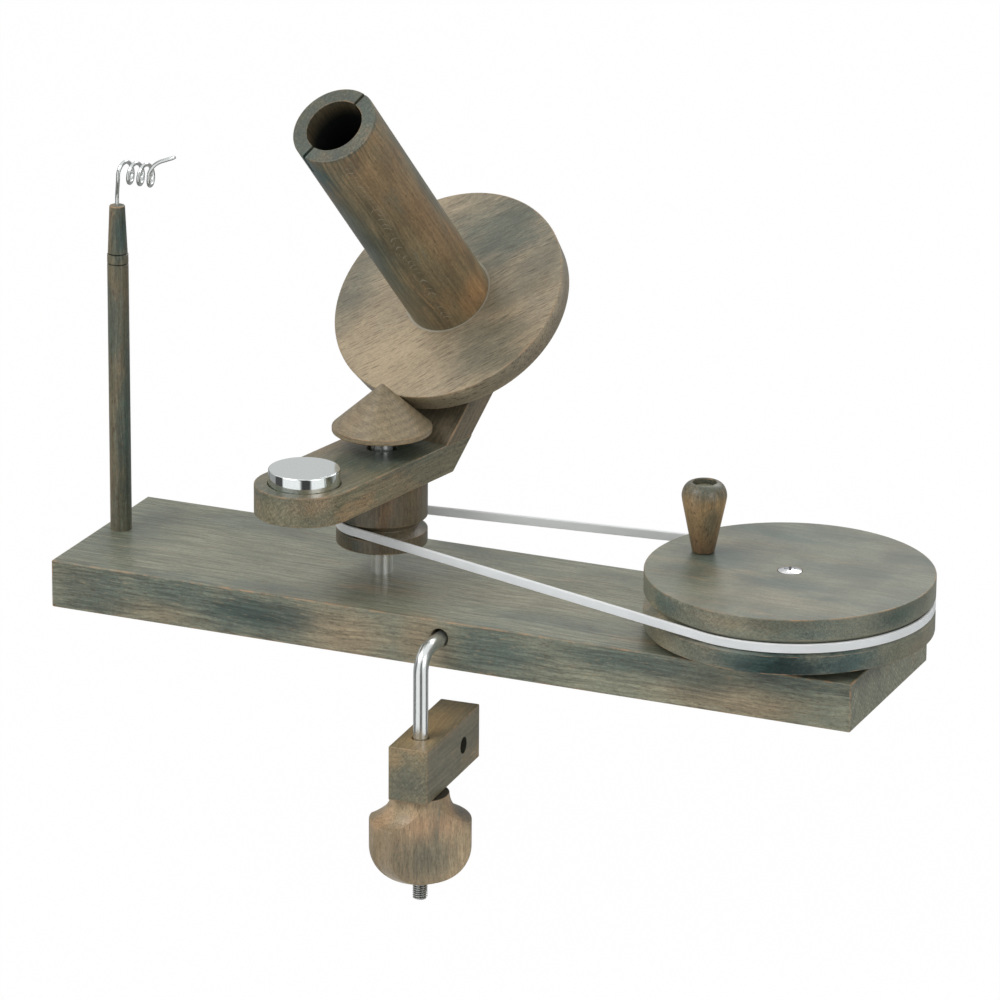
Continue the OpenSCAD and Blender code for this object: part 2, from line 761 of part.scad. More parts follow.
// The belt's rings: angle of its outward side, radius, middle and height
function belt_rings() = concat(
    [for (i = [0:belt_wheel_steps])
        let (a = -90 - belt_angle + (180 + 2 * belt_angle) * i / belt_wheel_steps)
        [a, belt_wheel_r, wheel_x, wheel_belt_z]],
    [for (i = [0:belt_pulley_steps])
        let (a = 90 + belt_angle + (180 - 2 * belt_angle) * i / belt_pulley_steps)
        [a, belt_pulley_r, shaft_x, pulley_belt_z]]);

// The belt's section, its corners taken off
function belt_section() = let (a = belt_t / 2, b = belt_h / 2, c = belt_t / 4)
    [[a, -b + c], [a, b - c], [a - c, b], [-a + c, b], [-a, b - c], [-a, -b + c], [-a + c, -b],
     [a - c, -b]];

module drive_belt() {
    rings = belt_rings();
    section = belt_section();
    n = len(rings);
    m = len(section);
    points = [for (q = rings) for (s = section)
        [q[2] + (q[1] + s[0]) * cos(q[0]), (q[1] + s[0]) * sin(q[0]), q[3] + s[1]]];
    faces = [for (i = [0:n - 1]) for (j = [0:m - 1])
        let (a = i * m, b = (i + 1) % n * m, k = (j + 1) % m)
        for (f = [[a + j, a + k, b + k], [a + j, b + k, b + j]]) f];
    color(belt_grey) polyhedron(points, faces);
}

module guide_post() {
    r = post_d / 2;
    neck_r = post_neck_d / 2;
    notch = ring_h / 2;
    color(wood_brown) translate([post_x, post_y, board_t]) difference() {
        rotate_extrude() polygon([
            [0, -post_depth], [post_foot_d / 2, -post_depth], [post_foot_d / 2, 1],
            [r, ring_low - notch], [r - ring_deep, ring_low], [r, ring_low + notch],
            [r, ring_high - notch], [neck_r - ring_deep, ring_high], [neck_r, ring_high + notch],
            [post_top_d / 2, post_h - post_edge], [post_top_d / 2 - post_edge, post_h], [0, post_h]
        ]);
        translate([0, 0, post_h - wire_in]) cylinder(d = wire_hole_d, h = wire_in + 1);
    }
}

// The guide wire's middle line: a leg, a bend to the curls, the curls and a free end
function blend(a, b, t) = a + (b - a) * (3 * t * t - 2 * t * t * t);
function wire_path() = concat(
    [[post_x, post_y, post_top - wire_in], [post_x, post_y, post_top],
     [post_x, post_y, post_top + wire_straight]],
    [for (i = [1:lean_steps - 1]) let (t = i / lean_steps)
        [blend(post_x, curl_x, t), blend(post_y, post_y - curl_r, t),
         post_top + wire_straight + (curl_z - post_top - wire_straight) * t]],
    [for (i = [0:curl_steps]) let (a = 360 * i / curl_rings)
        [curl_x + curl_pitch * i / curl_rings, post_y - curl_r * cos(a), curl_z + curl_r * sin(a)]],
    [for (b = [11:11:66]) [curl_end_x + free_end_x * (1 - cos(b)), post_y - curl_r,
        curl_z + free_end_z * sin(b)]],
    [[curl_end_x + free_tip_x, post_y - curl_r, curl_z + free_tip_z]]);

function unit(v) = v / norm(v);

// Frames along a path: each ring's across directions are carried over from the last one
function path_turn(p, i) = unit(p[min(i + 1, len(p) - 1)] - p[max(i - 1, 0)]);
function carried(p, i, n) = i == 0 ? n :
    let (t = path_turn(p, i), last = carried(p, i - 1, n)) unit(last - (last * t) * t);

// A tube of flat sides swept along a path
module swept_tube(p, d, sides) {
    r = d / 2 / cos(180 / sides);
    count = len(p);
    points = [for (i = [0:count - 1])
        let (t = path_turn(p, i), a = carried(p, i, [1, 0, 0]), b = cross(t, a))
        for (j = [0:sides - 1]) let (q = 360 * j / sides) p[i] + r * (cos(q) * a + sin(q) * b)];
    walls = [for (i = [0:count - 2]) for (j = [0:sides - 1])
        let (a = i * sides, b = (i + 1) * sides, k = (j + 1) % sides)
        for (f = [[a + j, b + j, b + k], [a + j, b + k, a + k]]) f];
    ends = [for (j = [1:sides - 2]) for (f = [[0, j, j + 1],
        [(count - 1) * sides, (count - 1) * sides + j + 1, (count - 1) * sides + j]]) f];
    polyhedron(points, concat(walls, ends));
}

// Least gap of the wire to itself, between points more than half a curl apart
function wire_gap(p) = min([for (i = [0:len(p) - 1]) for (j = [i + 5:1:len(p) - 1])
    norm(p[i] - p[j])]) - wire_d;

module yarn_guide_wire() {
    path = wire_path();
    echo(guide_wire_least_gap = wire_gap(path));
    color(steel) swept_tube(path, wire_d, wire_sides);
}

// Bent rod: a level stretch in the board, a quarter bend and a leg with a thread
module clamp_rod() {
    leg_top = rod_z - rod_bend_r;
    thread_top = -rod_drop + thread_l;
    color(steel) {
        translate([rod_x, rod_y + rod_bend_r, rod_z]) rotate([-90, 0, 0])
            cylinder(d = rod_d, h = rod_out - rod_bend_r + rod_in);
        translate([rod_x, rod_y + rod_bend_r, leg_top]) rotate([90, 0, -90])
            rotate_extrude(angle = 90) translate([rod_bend_r, 0]) circle(d = rod_d);
        at_rod() translate([0, 0, thread_top]) cylinder(d = rod_d, h = leg_top - thread_top);
        at_rod() translate([0, 0, -rod_drop]) thread_body(thread_l);
    }
}

// The thread as rings of its own pitch
module thread_body(l) {
    r = thread_d / 2;
    count = floor(l / thread_pitch);
    rotate_extrude() polygon(concat(
        [[0, 0], [r - thread_deep, 0]],
        [for (i = [0:count - 1]) each [
            [r - thread_deep, (i + 0.3) * thread_pitch],
            [r, (i + 0.7) * thread_pitch], [r, (i + 0.85) * thread_pitch]]],
        [[rod_d / 2, l], [0, l]]));
}

module jaw_block() {
    color(wood_blue) on_jaw() difference() {
        translate([0, jaw_l / 2 - jaw_front, jaw_z - jaw_h])
            chamfered_block(jaw_w, jaw_l, jaw_h, jaw_edge);
        translate([0, 0, jaw_z - jaw_h - 1]) cylinder(d = jaw_hole_d, h = jaw_h + 2);
        translate([0, 0, jaw_z - jaw_h - 1]) cylinder(d = washer_d + 1, h = 1 + washer_sink);
        translate([-jaw_w, cross_hole_reach, jaw_z - jaw_h / 2]) rotate([0, 90, 0])
            cylinder(d = cross_hole_d, h = jaw_w * 2);
    }
}

module jaw_washer() {
    color(steel) at_rod() translate([0, 0, jaw_z - jaw_h + washer_sink - washer_t])
        ring(washer_d, washer_hole_d, washer_t - end_gap);
}

// Turned knob, its neck up, cut by two flats. A hollow curve runs from the neck to a sharp lip.
module clamp_knob() {
    r = knob_d / 2;
    neck = knob_neck_d / 2;
    low = -knob_h;
    belly = -knob_cove_h - knob_side_h;
    run = r - knob_lip - neck;
    cove_r = (pow(knob_cove_h, 2) + pow(run, 2)) / (2 * run);
    cove_turn = 2 * atan(run / knob_cove_h);
    cove = arc([neck + cove_r, 0], cove_r, 180, 180 + cove_turn, 10);
    profile = concat(
        [[0, low], [knob_foot_r, low]],
        [for (i = [1:7]) let (b = 90 * i / 8)
            [knob_foot_r + (r - knob_foot_r) * sin(b), belly - (belly - low) * cos(b)]],
        [[r, belly], [r, -knob_cove_h - knob_lip]],
        [for (i = [len(cove) - 1:-1:0]) cove[i]], [[0, 0]]);
    color(wood_brown) at_rod() translate([0, 0, knob_z]) difference() {
        intersection() {
            rotate_extrude() polygon(profile);
            rotate([0, 0, knob_turn]) translate([-knob_flats / 2, -knob_d, -knob_h - 1])
                cube([knob_flats, knob_d * 2, knob_h + 2]);
        }
        translate([0, 0, -knob_h - 1]) cylinder(d = knob_bore_d, h = knob_h + 2);
        translate([0, 0, -knob_h + insert_up]) cylinder(d = insert_d + 2 * glue_gap, h = insert_l);
    }
}

module knob_insert() {
    color(brass) at_rod() translate([0, 0, knob_z - knob_h + insert_up])
        ring(insert_d, thread_d + 2 * run_gap, insert_l);
}

base_board();
winding_shaft();
shaft_collar();
collar_set_screw();
friction_cone();
wheel_screw();
wheel_insert();
wheel_spacer();
drive_belt();
flyer_arm();
flyer_plate();
plate_dowels();
small_pulley();
pulley_bushes();
pulley_dowels();
counterweight();
counterweight_screw();
spindle_axle();
axle_washers();
axle_nut();
spindle_spacer();
spindle_disc();
winding_tube();
spindle_bush();
drive_wheel();
wheel_bush();
grip_axle();
crank_grip();
guide_post();
yarn_guide_wire();
clamp_rod();
jaw_washer();
jaw_block();
clamp_knob();
knob_insert();
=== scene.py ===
"""The looks of a wooden yarn ball winder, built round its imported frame.

Named lengths are millimetres, apart from the lamps' and the floor's. The mesh code works in
millimetres too, and MM turns them into Blender's metres when a piece is made.
"""

import json
import math
from math import cos, hypot, pi, radians, sin

import bmesh
import bpy
from mathutils import Matrix, Vector

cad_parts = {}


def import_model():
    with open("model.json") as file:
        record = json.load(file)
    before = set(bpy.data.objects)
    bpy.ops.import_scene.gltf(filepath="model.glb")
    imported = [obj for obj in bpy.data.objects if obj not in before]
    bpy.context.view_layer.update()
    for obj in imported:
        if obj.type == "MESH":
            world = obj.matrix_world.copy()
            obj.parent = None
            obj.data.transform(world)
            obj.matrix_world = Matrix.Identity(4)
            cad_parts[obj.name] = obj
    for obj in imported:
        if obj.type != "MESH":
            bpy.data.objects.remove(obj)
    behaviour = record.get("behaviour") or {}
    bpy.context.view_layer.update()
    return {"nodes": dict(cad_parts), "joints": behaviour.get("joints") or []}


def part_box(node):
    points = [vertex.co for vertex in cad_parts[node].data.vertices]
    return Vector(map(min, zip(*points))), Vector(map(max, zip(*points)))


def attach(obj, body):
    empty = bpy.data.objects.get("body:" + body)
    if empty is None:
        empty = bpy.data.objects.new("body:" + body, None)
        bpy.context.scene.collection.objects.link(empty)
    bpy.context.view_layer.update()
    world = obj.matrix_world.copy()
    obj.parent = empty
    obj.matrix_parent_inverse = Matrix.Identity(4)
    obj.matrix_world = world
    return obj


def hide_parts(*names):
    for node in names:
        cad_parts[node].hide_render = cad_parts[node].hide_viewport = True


MM = 0.001

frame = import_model()
joints = {joint["name"]: joint for joint in frame["joints"]}


def box_of(node):
    """Lowest and highest corner of a CAD node, in millimetres."""
    low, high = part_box(node)
    return low / MM, high / MM


def joint_point(name):
    return Vector(joints[name]["pos_m"]) / MM


# Sizes that the frame gives

BOARD_LOW, BOARD_HIGH = box_of("base_board")
BOARD_TOP = BOARD_HIGH.z
WHEEL_LOW, WHEEL_HIGH = box_of("drive_wheel")
WHEEL_MID = (WHEEL_LOW + WHEEL_HIGH) / 2
WHEEL_R = (WHEEL_HIGH.x - WHEEL_LOW.x) / 2
PULLEY_LOW, PULLEY_HIGH = box_of("small_pulley")
PULLEY_R = (PULLEY_HIGH.x - PULLEY_LOW.x) / 2
SHAFT = joint_point("flyer_spin")
SHAFT_R = (box_of("winding_shaft")[1].x - box_of("winding_shaft")[0].x) / 2
CONE_LOW, CONE_HIGH = box_of("friction_cone")
CONE_R = (CONE_HIGH.x - CONE_LOW.x) / 2
ARM_LOW, ARM_HIGH = box_of("flyer_arm")
WEIGHT_LOW, WEIGHT_HIGH = box_of("counterweight")
WEIGHT_R = (WEIGHT_HIGH.x - WEIGHT_LOW.x) / 2
GRIP_LOW, GRIP_HIGH = box_of("crank_grip")
GRIP = joint_point("grip_spin")
GRIP_R = (GRIP_HIGH.x - GRIP_LOW.x) / 2
POST = joint_point("guide_twist")
POST_TOP = box_of("guide_post")[1].z
ROD_MID = joint_point("knob_turn")
ROD_HOLE_X = joint_point("clamp_swing").x
ROD_END = box_of("clamp_rod")[0].z
KNOB_LOW, KNOB_HIGH = box_of("clamp_knob")
JAW_TOP = box_of("jaw_block")[1].z

# The spindle's axis gives the flyer's direction and the tube's rise
AXIS = Vector(joints["spindle_spin"]["axis"])
DISC = joint_point("spindle_spin")
FLYER_TURN = math.atan2(-AXIS.y, -AXIS.x)
RISE = math.asin(AXIS.z)

# Sizes of the pieces' shapes. Some are several numbers:
# a groove is the height of its lower rim, its mouth and its depth;
# the saw cut (KERF) is its width, depth and turn in degrees;
# the jaw is its width, length and height, and the belt its height and thickness;
# the cross recess is half its wings' length and width, at its foot and at its mouth;
# the wire's free end is an arc's run, rise and sweep in degrees, and its tip's run and rise;
# a recess, a seat, a bolt's head and the cross hole are a radius and a depth or distance.

BOARD_EDGE = 0.9
ROD_HOLE_D = 10
ROD_HOLE_Z = 17
ROD_HOLE_DEEP = 46
ROD_R = 4
ROD_BEND_R = 11
THREAD_R = 4
THREAD_PITCH = 1.25
THREAD_LENGTH = 60
THREAD_DEEP = 0.62
THREAD_ROWS = 8  # rows of points to a pitch
GROOVE_WHEEL = (9.9, 9.1, 4.5)
GROOVE_PULLEY = (7.6, 7.8, 5)
COLLAR_SEAT_R = 11
COLLAR_SEAT_H = 7.1
BUSH_R = 8
WHEEL_SCREW_R = 4
WHEEL_HEAD_R = 6.4
WHEEL_HEAD_DOME = 1.1
WHEEL_HEAD_RIM = 0.4
CROSS_WINGS = ((1.6, 0.45), (3.9, 0.85))
HEAD_GAP = 0.3
ARM_W = 53.6
ARM_HOLE_R = 7.9
PLATE_FOOT = 22.8
PLATE_T = 16
WEIGHT_REACH = 71.5
WEIGHT_SEAT = 3
DISC_R = 66.7
DISC_BACK_R = 65.21
DISC_T = 14.5
TUBE_SEAT = 6
TUBE_FOOT_R = 22
TUBE_R = 23.4
TUBE_BORE_R = 15.6
TUBE_L = 159
KERF = (1.8, 14, 160)
AXLE_R = 5
SPACER_R = 9.5
WASHER_T = 1.6
NUT_H = 8
NUT_R = 9.75
AXLE_TAIL = 3
AXLE_PITCH = 1.5
AXLE_HEAD = (8.5, 6)
AXLE_HEAD_AT = 9.7
WASHER_AT = 8.1
RING_PLAY = 0.02
CONE_RIM = 3
CONE_SLOPE = 24.7
CONE_TIP_R = 2.6
GRIP_FOOT_R = 5.95
GRIP_BELLY = 31.3
GRIP_SHOULDER = 5.5
GRIP_RECESS = (6.35, 5.4)
GRIP_AXLE_R = 3.5
BELT = (5, 1.8)
BELT_ROLL = 0.2
POST_FOOT_R = 5.95
POST_R = 5.85
POST_NECK_R = 5.45
POST_TOP_R = 4.25
POST_IN = 16
POST_RINGS = (32.6, 27)
RING_H = 0.9
RING_DEEP = 0.6
WIRE_R = 1.1
CURL_R = 5.6
CURL_RISE = 19.2
CURL_RUN = 3.6
CURL_PITCH = 6.15
CURL_TURNS = 3
WIRE_ARC = (14.4, 11.7, 66)
WIRE_TIP = (16, 13.6)
JAW_TURN = radians(2.7)
JAW = (22.4, 77, 30.4)
JAW_FRONT = 18.4
JAW_HOLE_R = 4.75
JAW_SEAT = (10.5, 1.5)
CROSS_HOLE = (4.6, 34.5)
KNOB_R = 27.4
KNOB_NECK_R = 15.5
KNOB_COVE = 14.6
KNOB_SIDE = 15.5
KNOB_FOOT_R = 11
KNOB_FLATS = 31.2
KNOB_TURN = radians(-45)
KNOB_LIP = 1.2
KNOB_BORE_R = 4.5

# The camera that was fitted to the photograph: yaw, pitch and roll in degrees, its place, its
# lens and the shift of its picture, and the bearing at which it stands

CAMERA_ANGLES = (23.173, 18.938, 0.455)
CAMERA_PLACE = Vector((1261.93, -2927.31, 1171.51))
CAMERA_LENS = 226.68
CAMERA_SHIFT = (-0.00114, -0.00293)
CAMERA_TURN = radians(-66.8)

# Lamps (place, size and power) and floor (half width and level), in metres

LAMPS = {
    "key": ((-1.2, -1.6, 2.2), (1.6, 1.6), 34),
    "fill": ((2.2, -1.2, 1.2), (1.4, 1.4), 14),
    "back": ((0.2, 2.2, 1.8), (2.0, 1.0), 20)}
LAMP_AIM = Vector((0, 0, 0.1))
FLOOR = (6, -0.165)


# Camera, floor and light


def added(name, data):
    """An object in the scene."""
    obj = bpy.data.objects.new(name, data)
    bpy.context.scene.collection.objects.link(obj)
    return obj


def camera():
    """The photograph's viewpoint: a long lens, to the right of the object and above it."""
    yaw, pitch, roll = (radians(a) for a in CAMERA_ANGLES)
    forward = Vector((
        -sin(yaw) * cos(pitch), cos(yaw) * cos(pitch), -sin(pitch)))
    level = Vector((cos(yaw), sin(yaw), 0))
    upright = level.cross(forward)
    right = level * cos(roll) + upright * sin(roll)
    up = upright * cos(roll) - level * sin(roll)
    data = bpy.data.cameras.new("camera")
    data.sensor_width = 36
    data.lens = CAMERA_LENS
    data.shift_x, data.shift_y = CAMERA_SHIFT
    data.clip_end = 30
    eye = added("camera", data)
    turn = Matrix((right, up, -forward)).transposed().to_4x4()
    eye.matrix_world = at(CAMERA_PLACE, CAMERA_PLACE.z) @ turn
    bpy.context.scene.camera = eye


def lamp(name, place, size, power):
    data = bpy.data.lights.new(name, "AREA")
    data.shape = "RECTANGLE"
    data.size, data.size_y = size
    data.energy = power
    light = added(name, data)
    light.location = place
    light.rotation_euler = (LAMP_AIM - Vector(place)).to_track_quat("-Z", "Y").to_euler()


def studio(s, way):
    """How bright the surroundings look in a mirror: white walls with dark cards between them.

    way is a direction or a place. The cards stand by the camera and square to it, and what lies
    behind the object is grey.
    """
    level = s.vector("NORMALIZE", s.vector("MULTIPLY", way, (1, 1, 0)))
    facing = s.vector("DOT_PRODUCT", level, (cos(CAMERA_TURN), sin(CAMERA_TURN), 0))
    front = s.step(facing, 0.94, 0.985, 1, 0.06)
    side = s.times(s.step(facing, 0.40, 0.28), s.step(facing, -0.20, -0.08))
    walls = s.times(front, s.step(side, 0, 1, 1, 0.08))
    up = s.vector("DOT_PRODUCT", s.vector("NORMALIZE", way), (0, 0, 1))
    behind = s.math("MAXIMUM", s.step(facing, -0.16, -0.08), s.step(up, 0.12, 0.30, 0.34, 0.64))
    walls = s.times(walls, behind)
    above = s.step(up, 0.50, 0.66)
    return s.math("MAXIMUM", walls, s.times(above, 0.95))


def world():
    """A plain pale surrounding: white to the camera, softer as light."""
    scene = bpy.context.scene
    scene.world = bpy.data.worlds.new("studio")
    scene.world.use_nodes = True
    s = Nodes(scene.world.node_tree)
    s.tree.nodes.clear()
    path = s.add("LightPath").outputs
    around = studio(s, s.add("TexCoord").outputs["Generated"])
    mixed = s.add("Background", {"Color": (0.96, 0.98, 1), "Strength": 0.42}).outputs[0]
    for strength, ray in ((around, "Is Glossy Ray"), (1.0, "Is Camera Ray")):
        light = s.add("Background", {"Color": (1, 1, 1), "Strength": strength})
        mixed = s.blend(path[ray], mixed, light.outputs[0])
    s.link(mixed, s.add("OutputWorld").inputs["Surface"])
    scene.view_settings.view_transform = "Standard"


def floor():
    """A white floor below the clamp, which keeps a faint shadow."""
    mesh = bpy.data.meshes.new("floor")
    half, level = FLOOR
    mesh.from_pydata(
        [(-half, -half, level), (half, -half, level), (half, half, level), (-half, half, level)],
        [], [(0, 1, 2, 3)])
    plane = added("floor", mesh)
    s = Shader("floor")
    s.tree.nodes.clear()
    mixed = s.add("BsdfDiffuse", {"Color": (0.8, 0.8, 0.8)}).outputs[0]
    path = s.add("LightPath").outputs
    seen = [(studio(s, s.add("NewGeometry").outputs["Position"]), path["Is Glossy Ray"]),
            (1.0, s.times(path["Is Camera Ray"], 0.99))]
    for strength, share in seen:
        glow = s.add("Emission", {"Color": (1, 1, 1), "Strength": strength})
        mixed = s.blend(share, mixed, glow.outputs[0])
    s.link(mixed, s.add("OutputMaterial").inputs["Surface"])
    mesh.materials.append(s.material)


# Shapes


def rounded(corners, loop, steps=4):
    """Points of an outline whose corners (x, y, radius) are rounded, and which stretches are edges.

    The outline runs counterclockwise. An edge is the rounding of a corner that stands out.
    """
    points, worn_and_highlit = [], []
    count = len(corners)
    for i, corner in enumerate(corners):
        here = Vector(corner[:2])
        radius = corner[2] if len(corner) > 2 else 0
        if not radius or (not loop and i in (0, count - 1)):
            points.append(here)
            worn_and_highlit.append(False)
            continue
        back = (Vector(corners[i - 1][:2]) - here).normalized()
        ahead = (Vector(corners[(i + 1) % count][:2]) - here).normalized()
        half = back.angle(ahead) / 2
        centre = here + (back + ahead).normalized() * radius / sin(half)
        start = here + back * radius / math.tan(half) - centre
        end = here + ahead * radius / math.tan(half) - centre
        convex = ahead.x * back.y - ahead.y * back.x > 0
        for k in range(steps + 1):
            t = k / steps
            points.append(centre + start.slerp(end, t, start) * radius)
            worn_and_highlit.append(convex and k < steps)
    return points, worn_and_highlit


def fresh():
    """An empty mesh whose faces can be marked: rubbed edges on wood, a painted highlight on the belt's
    edges.
    """
    bm = bmesh.new()
    bm.faces.layers.float.new("wear_and_highlight")
    return bm


def skin(bm, rings, loop=False, worn_and_highlit=lambda ring, point: False):
    """The mesh with faces from each ring of points to the next, marked where the function says so:
    rubbed edges on wood, a painted highlight on the belt's edges.
    """
    wear_and_highlight = bm.faces.layers.float["wear_and_highlight"]
    for i, low in enumerate(rings if loop else rings[:-1]):
        high = rings[(i + 1) % len(rings)]
        for j in range(len(low)):
            k = (j + 1) % len(low)
            corners = [low[j], low[k], high[k], high[j]]
            face = [v for n, v in enumerate(corners) if v not in corners[:n]]
            if len(face) > 2:
                bm.faces.new(face)[wear_and_highlight] = float(worn_and_highlit(i, j))
    return bm


def turned(corners, loop=False, sides=128, steps=4):
    """A body of revolution about Z, from an outline of (radius, height, rounding)."""
    points, worn_and_highlit = rounded(corners, loop, steps)
    bm = fresh()
    turn = [radians(360 * j / sides) for j in range(sides)]
    rings = []
    for r, z in points:
        if r < 1e-6:
            rings.append([bm.verts.new((0, 0, z))] * sides)
        else:
            rings.append([bm.verts.new((r * cos(a), r * sin(a), z)) for a in turn])
    return skin(bm, rings, loop, lambda ring, point: worn_and_highlit[ring])


def cylinder(radius, low, high):
    return turned([(0, low), (radius, low), (radius, high), (0, high)], sides=64)


def prism(low, high, z_low, z_high):
    """A solid between two outlines of as many points, at two heights."""
    bm = fresh()
    under = [bm.verts.new((x, y, z_low)) for x, y in low]
    over = [bm.verts.new((x, y, z_high)) for x, y in high]
    bm.faces.new(list(reversed(under)))
    bm.faces.new(over)
    return skin(bm, [under, over])


def block(low, high):
    corners = [(low[0], low[1]), (high[0], low[1]), (high[0], high[1]), (low[0], high[1])]
    return prism(corners, corners, low[2], high[2])


def stadium(reach, width, end):
    """Outline of a bar with one round end at x = -reach and a straight end at x = end."""
    r = width / 2
    turn = [radians(90 + 180 * i / 48) for i in range(49)]
    round_end = [(-reach + r * cos(a), r * sin(a)) for a in turn]
    return round_end + [(end, -r), (end, r)]


def moved(bm, place=(0, 0, 0), angle=0, axis="Z"):
    """The mesh turned about an axis, and then moved to a place."""
    matrix = Matrix.Translation(place) @ Matrix.Rotation(angle, 4, axis)
    bmesh.ops.transform(bm, matrix=matrix, verts=bm.verts)
    return bm


def joined(*parts):
    """One mesh of several."""
    whole = bmesh.new()
    for part in parts:
        mesh = bpy.data.meshes.new("part")
        part.to_mesh(mesh)
        part.free()
        whole.from_mesh(mesh)
        bpy.data.meshes.remove(mesh)
    return whole


def temporary(bm):
    mesh = bpy.data.meshes.new("tool")
    bm.to_mesh(mesh)
    bm.free()
    return added("tool", mesh)


def carved(bm, *tools):
    """The mesh less the tools' meshes."""
    bmesh.ops.recalc_face_normals(bm, faces=bm.faces)
    whole = temporary(bm)
    cutters = []
    for tool in tools:
        bmesh.ops.recalc_face_normals(tool, faces=tool.faces)
        cutters.append(temporary(tool))
        cut = whole.modifiers.new("cut", "BOOLEAN")
        cut.operation = "DIFFERENCE"
        cut.solver = "EXACT"
        cut.object = cutters[-1]
    graph = bpy.context.evaluated_depsgraph_get()
    mesh = bpy.data.meshes.new_from_object(whole.evaluated_get(graph))
    result = bmesh.new()
    result.from_mesh(mesh)
    for thing in [whole] + cutters:
        data = thing.data
        bpy.data.objects.remove(thing)
        bpy.data.meshes.remove(data)
    bpy.data.meshes.remove(mesh)
    return result


def bevelled(bm, width, steps, limit, choose=None, slide=True):
    """The mesh with edges sharper than a limit rounded, and those roundings marked as rubbed edges."""
    wear_and_highlight = bm.faces.layers.float.get("wear_and_highlight") or bm.faces.layers.float.new("wear_and_highlight")
    bmesh.ops.recalc_face_normals(bm, faces=bm.faces)
    sharp = [
        edge for edge in bm.edges
        if len(edge.link_faces) == 2 and edge.calc_face_angle(0) > radians(limit)
        and (choose is None or choose((edge.verts[0].co + edge.verts[1].co) / 2))
    ]
    made = bmesh.ops.bevel(
        bm, geom=sharp, offset=width, segments=steps, profile=0.5, affect="EDGES",
        clamp_overlap=True, loop_slide=slide)
    for face in made["faces"]:
        face[wear_and_highlight] = 1.0
    return bm


def softened(bm, width, steps=3, choose=None):
    """The mesh with its flat faces made one each and its edges rounded."""
    bmesh.ops.remove_doubles(bm, verts=bm.verts, dist=1e-4)
    bmesh.ops.dissolve_limit(
        bm, angle_limit=radians(0.5), verts=bm.verts, edges=bm.edges, delimit=set())
    return bevelled(bm, width, steps, 35, choose)


def line(start, end, count):
    """Points on the way to a straight line's end, without its start."""
    return [start.lerp(end, i / count) for i in range(1, count + 1)]


def tube_along(path, radius, sides, across=None):
    """A tube along a path, with a radius that is a function of (step, angle).

    across is one direction square to a flat path; without it, each ring's directions are carried
    over from the last.
    """
    bm = fresh()
    last = len(path) - 1
    side = across
    rings = []
    for i, point in enumerate(path):
        ahead = (path[min(i + 1, last)] - path[max(i - 1, 0)]).normalized()
        if across is None:
            side = side or ahead.orthogonal()
            side = (side - ahead * side.dot(ahead)).normalized()
        other = ahead.cross(side).normalized()
        ring = []
        for j in range(sides):
            angle = 2 * pi * j / sides
            reach = radius(i, angle)
            ring.append(bm.verts.new(
                point + side * (reach * cos(angle)) + other * (reach * sin(angle))))
        rings.append(ring)
    skin(bm, rings)
    bm.faces.new(list(reversed(rings[0])))
    bm.faces.new(rings[-1])
    return bm


def thread_depth(step_along, angle):
    """How far a right-handed thread's surface lies under its crest, at a height in pitches."""
    phase = (step_along - angle / (2 * pi)) % 1
    return THREAD_DEEP * min(max(abs(2 * phase - 1) * 1.5 - 0.25, 0), 1)


def threaded(radius, pitch, z_low, z_high):
    """A threaded rod about Z with chamfered ends."""
    count = round((z_high - z_low) / pitch * THREAD_ROWS)
    foot = Vector((0, 0, z_low))
    path = [foot] + line(foot, Vector((0, 0, z_high)), count)

    def reach(i, angle):
        ends = min(i, count - i) / THREAD_ROWS
        bare = radius - thread_depth(path[i].z / pitch, angle)
        return min(bare, radius - 0.9 + ends * 1.2)

    return tube_along(path, reach, 40, across=Vector((1, 0, 0)))


# Materials


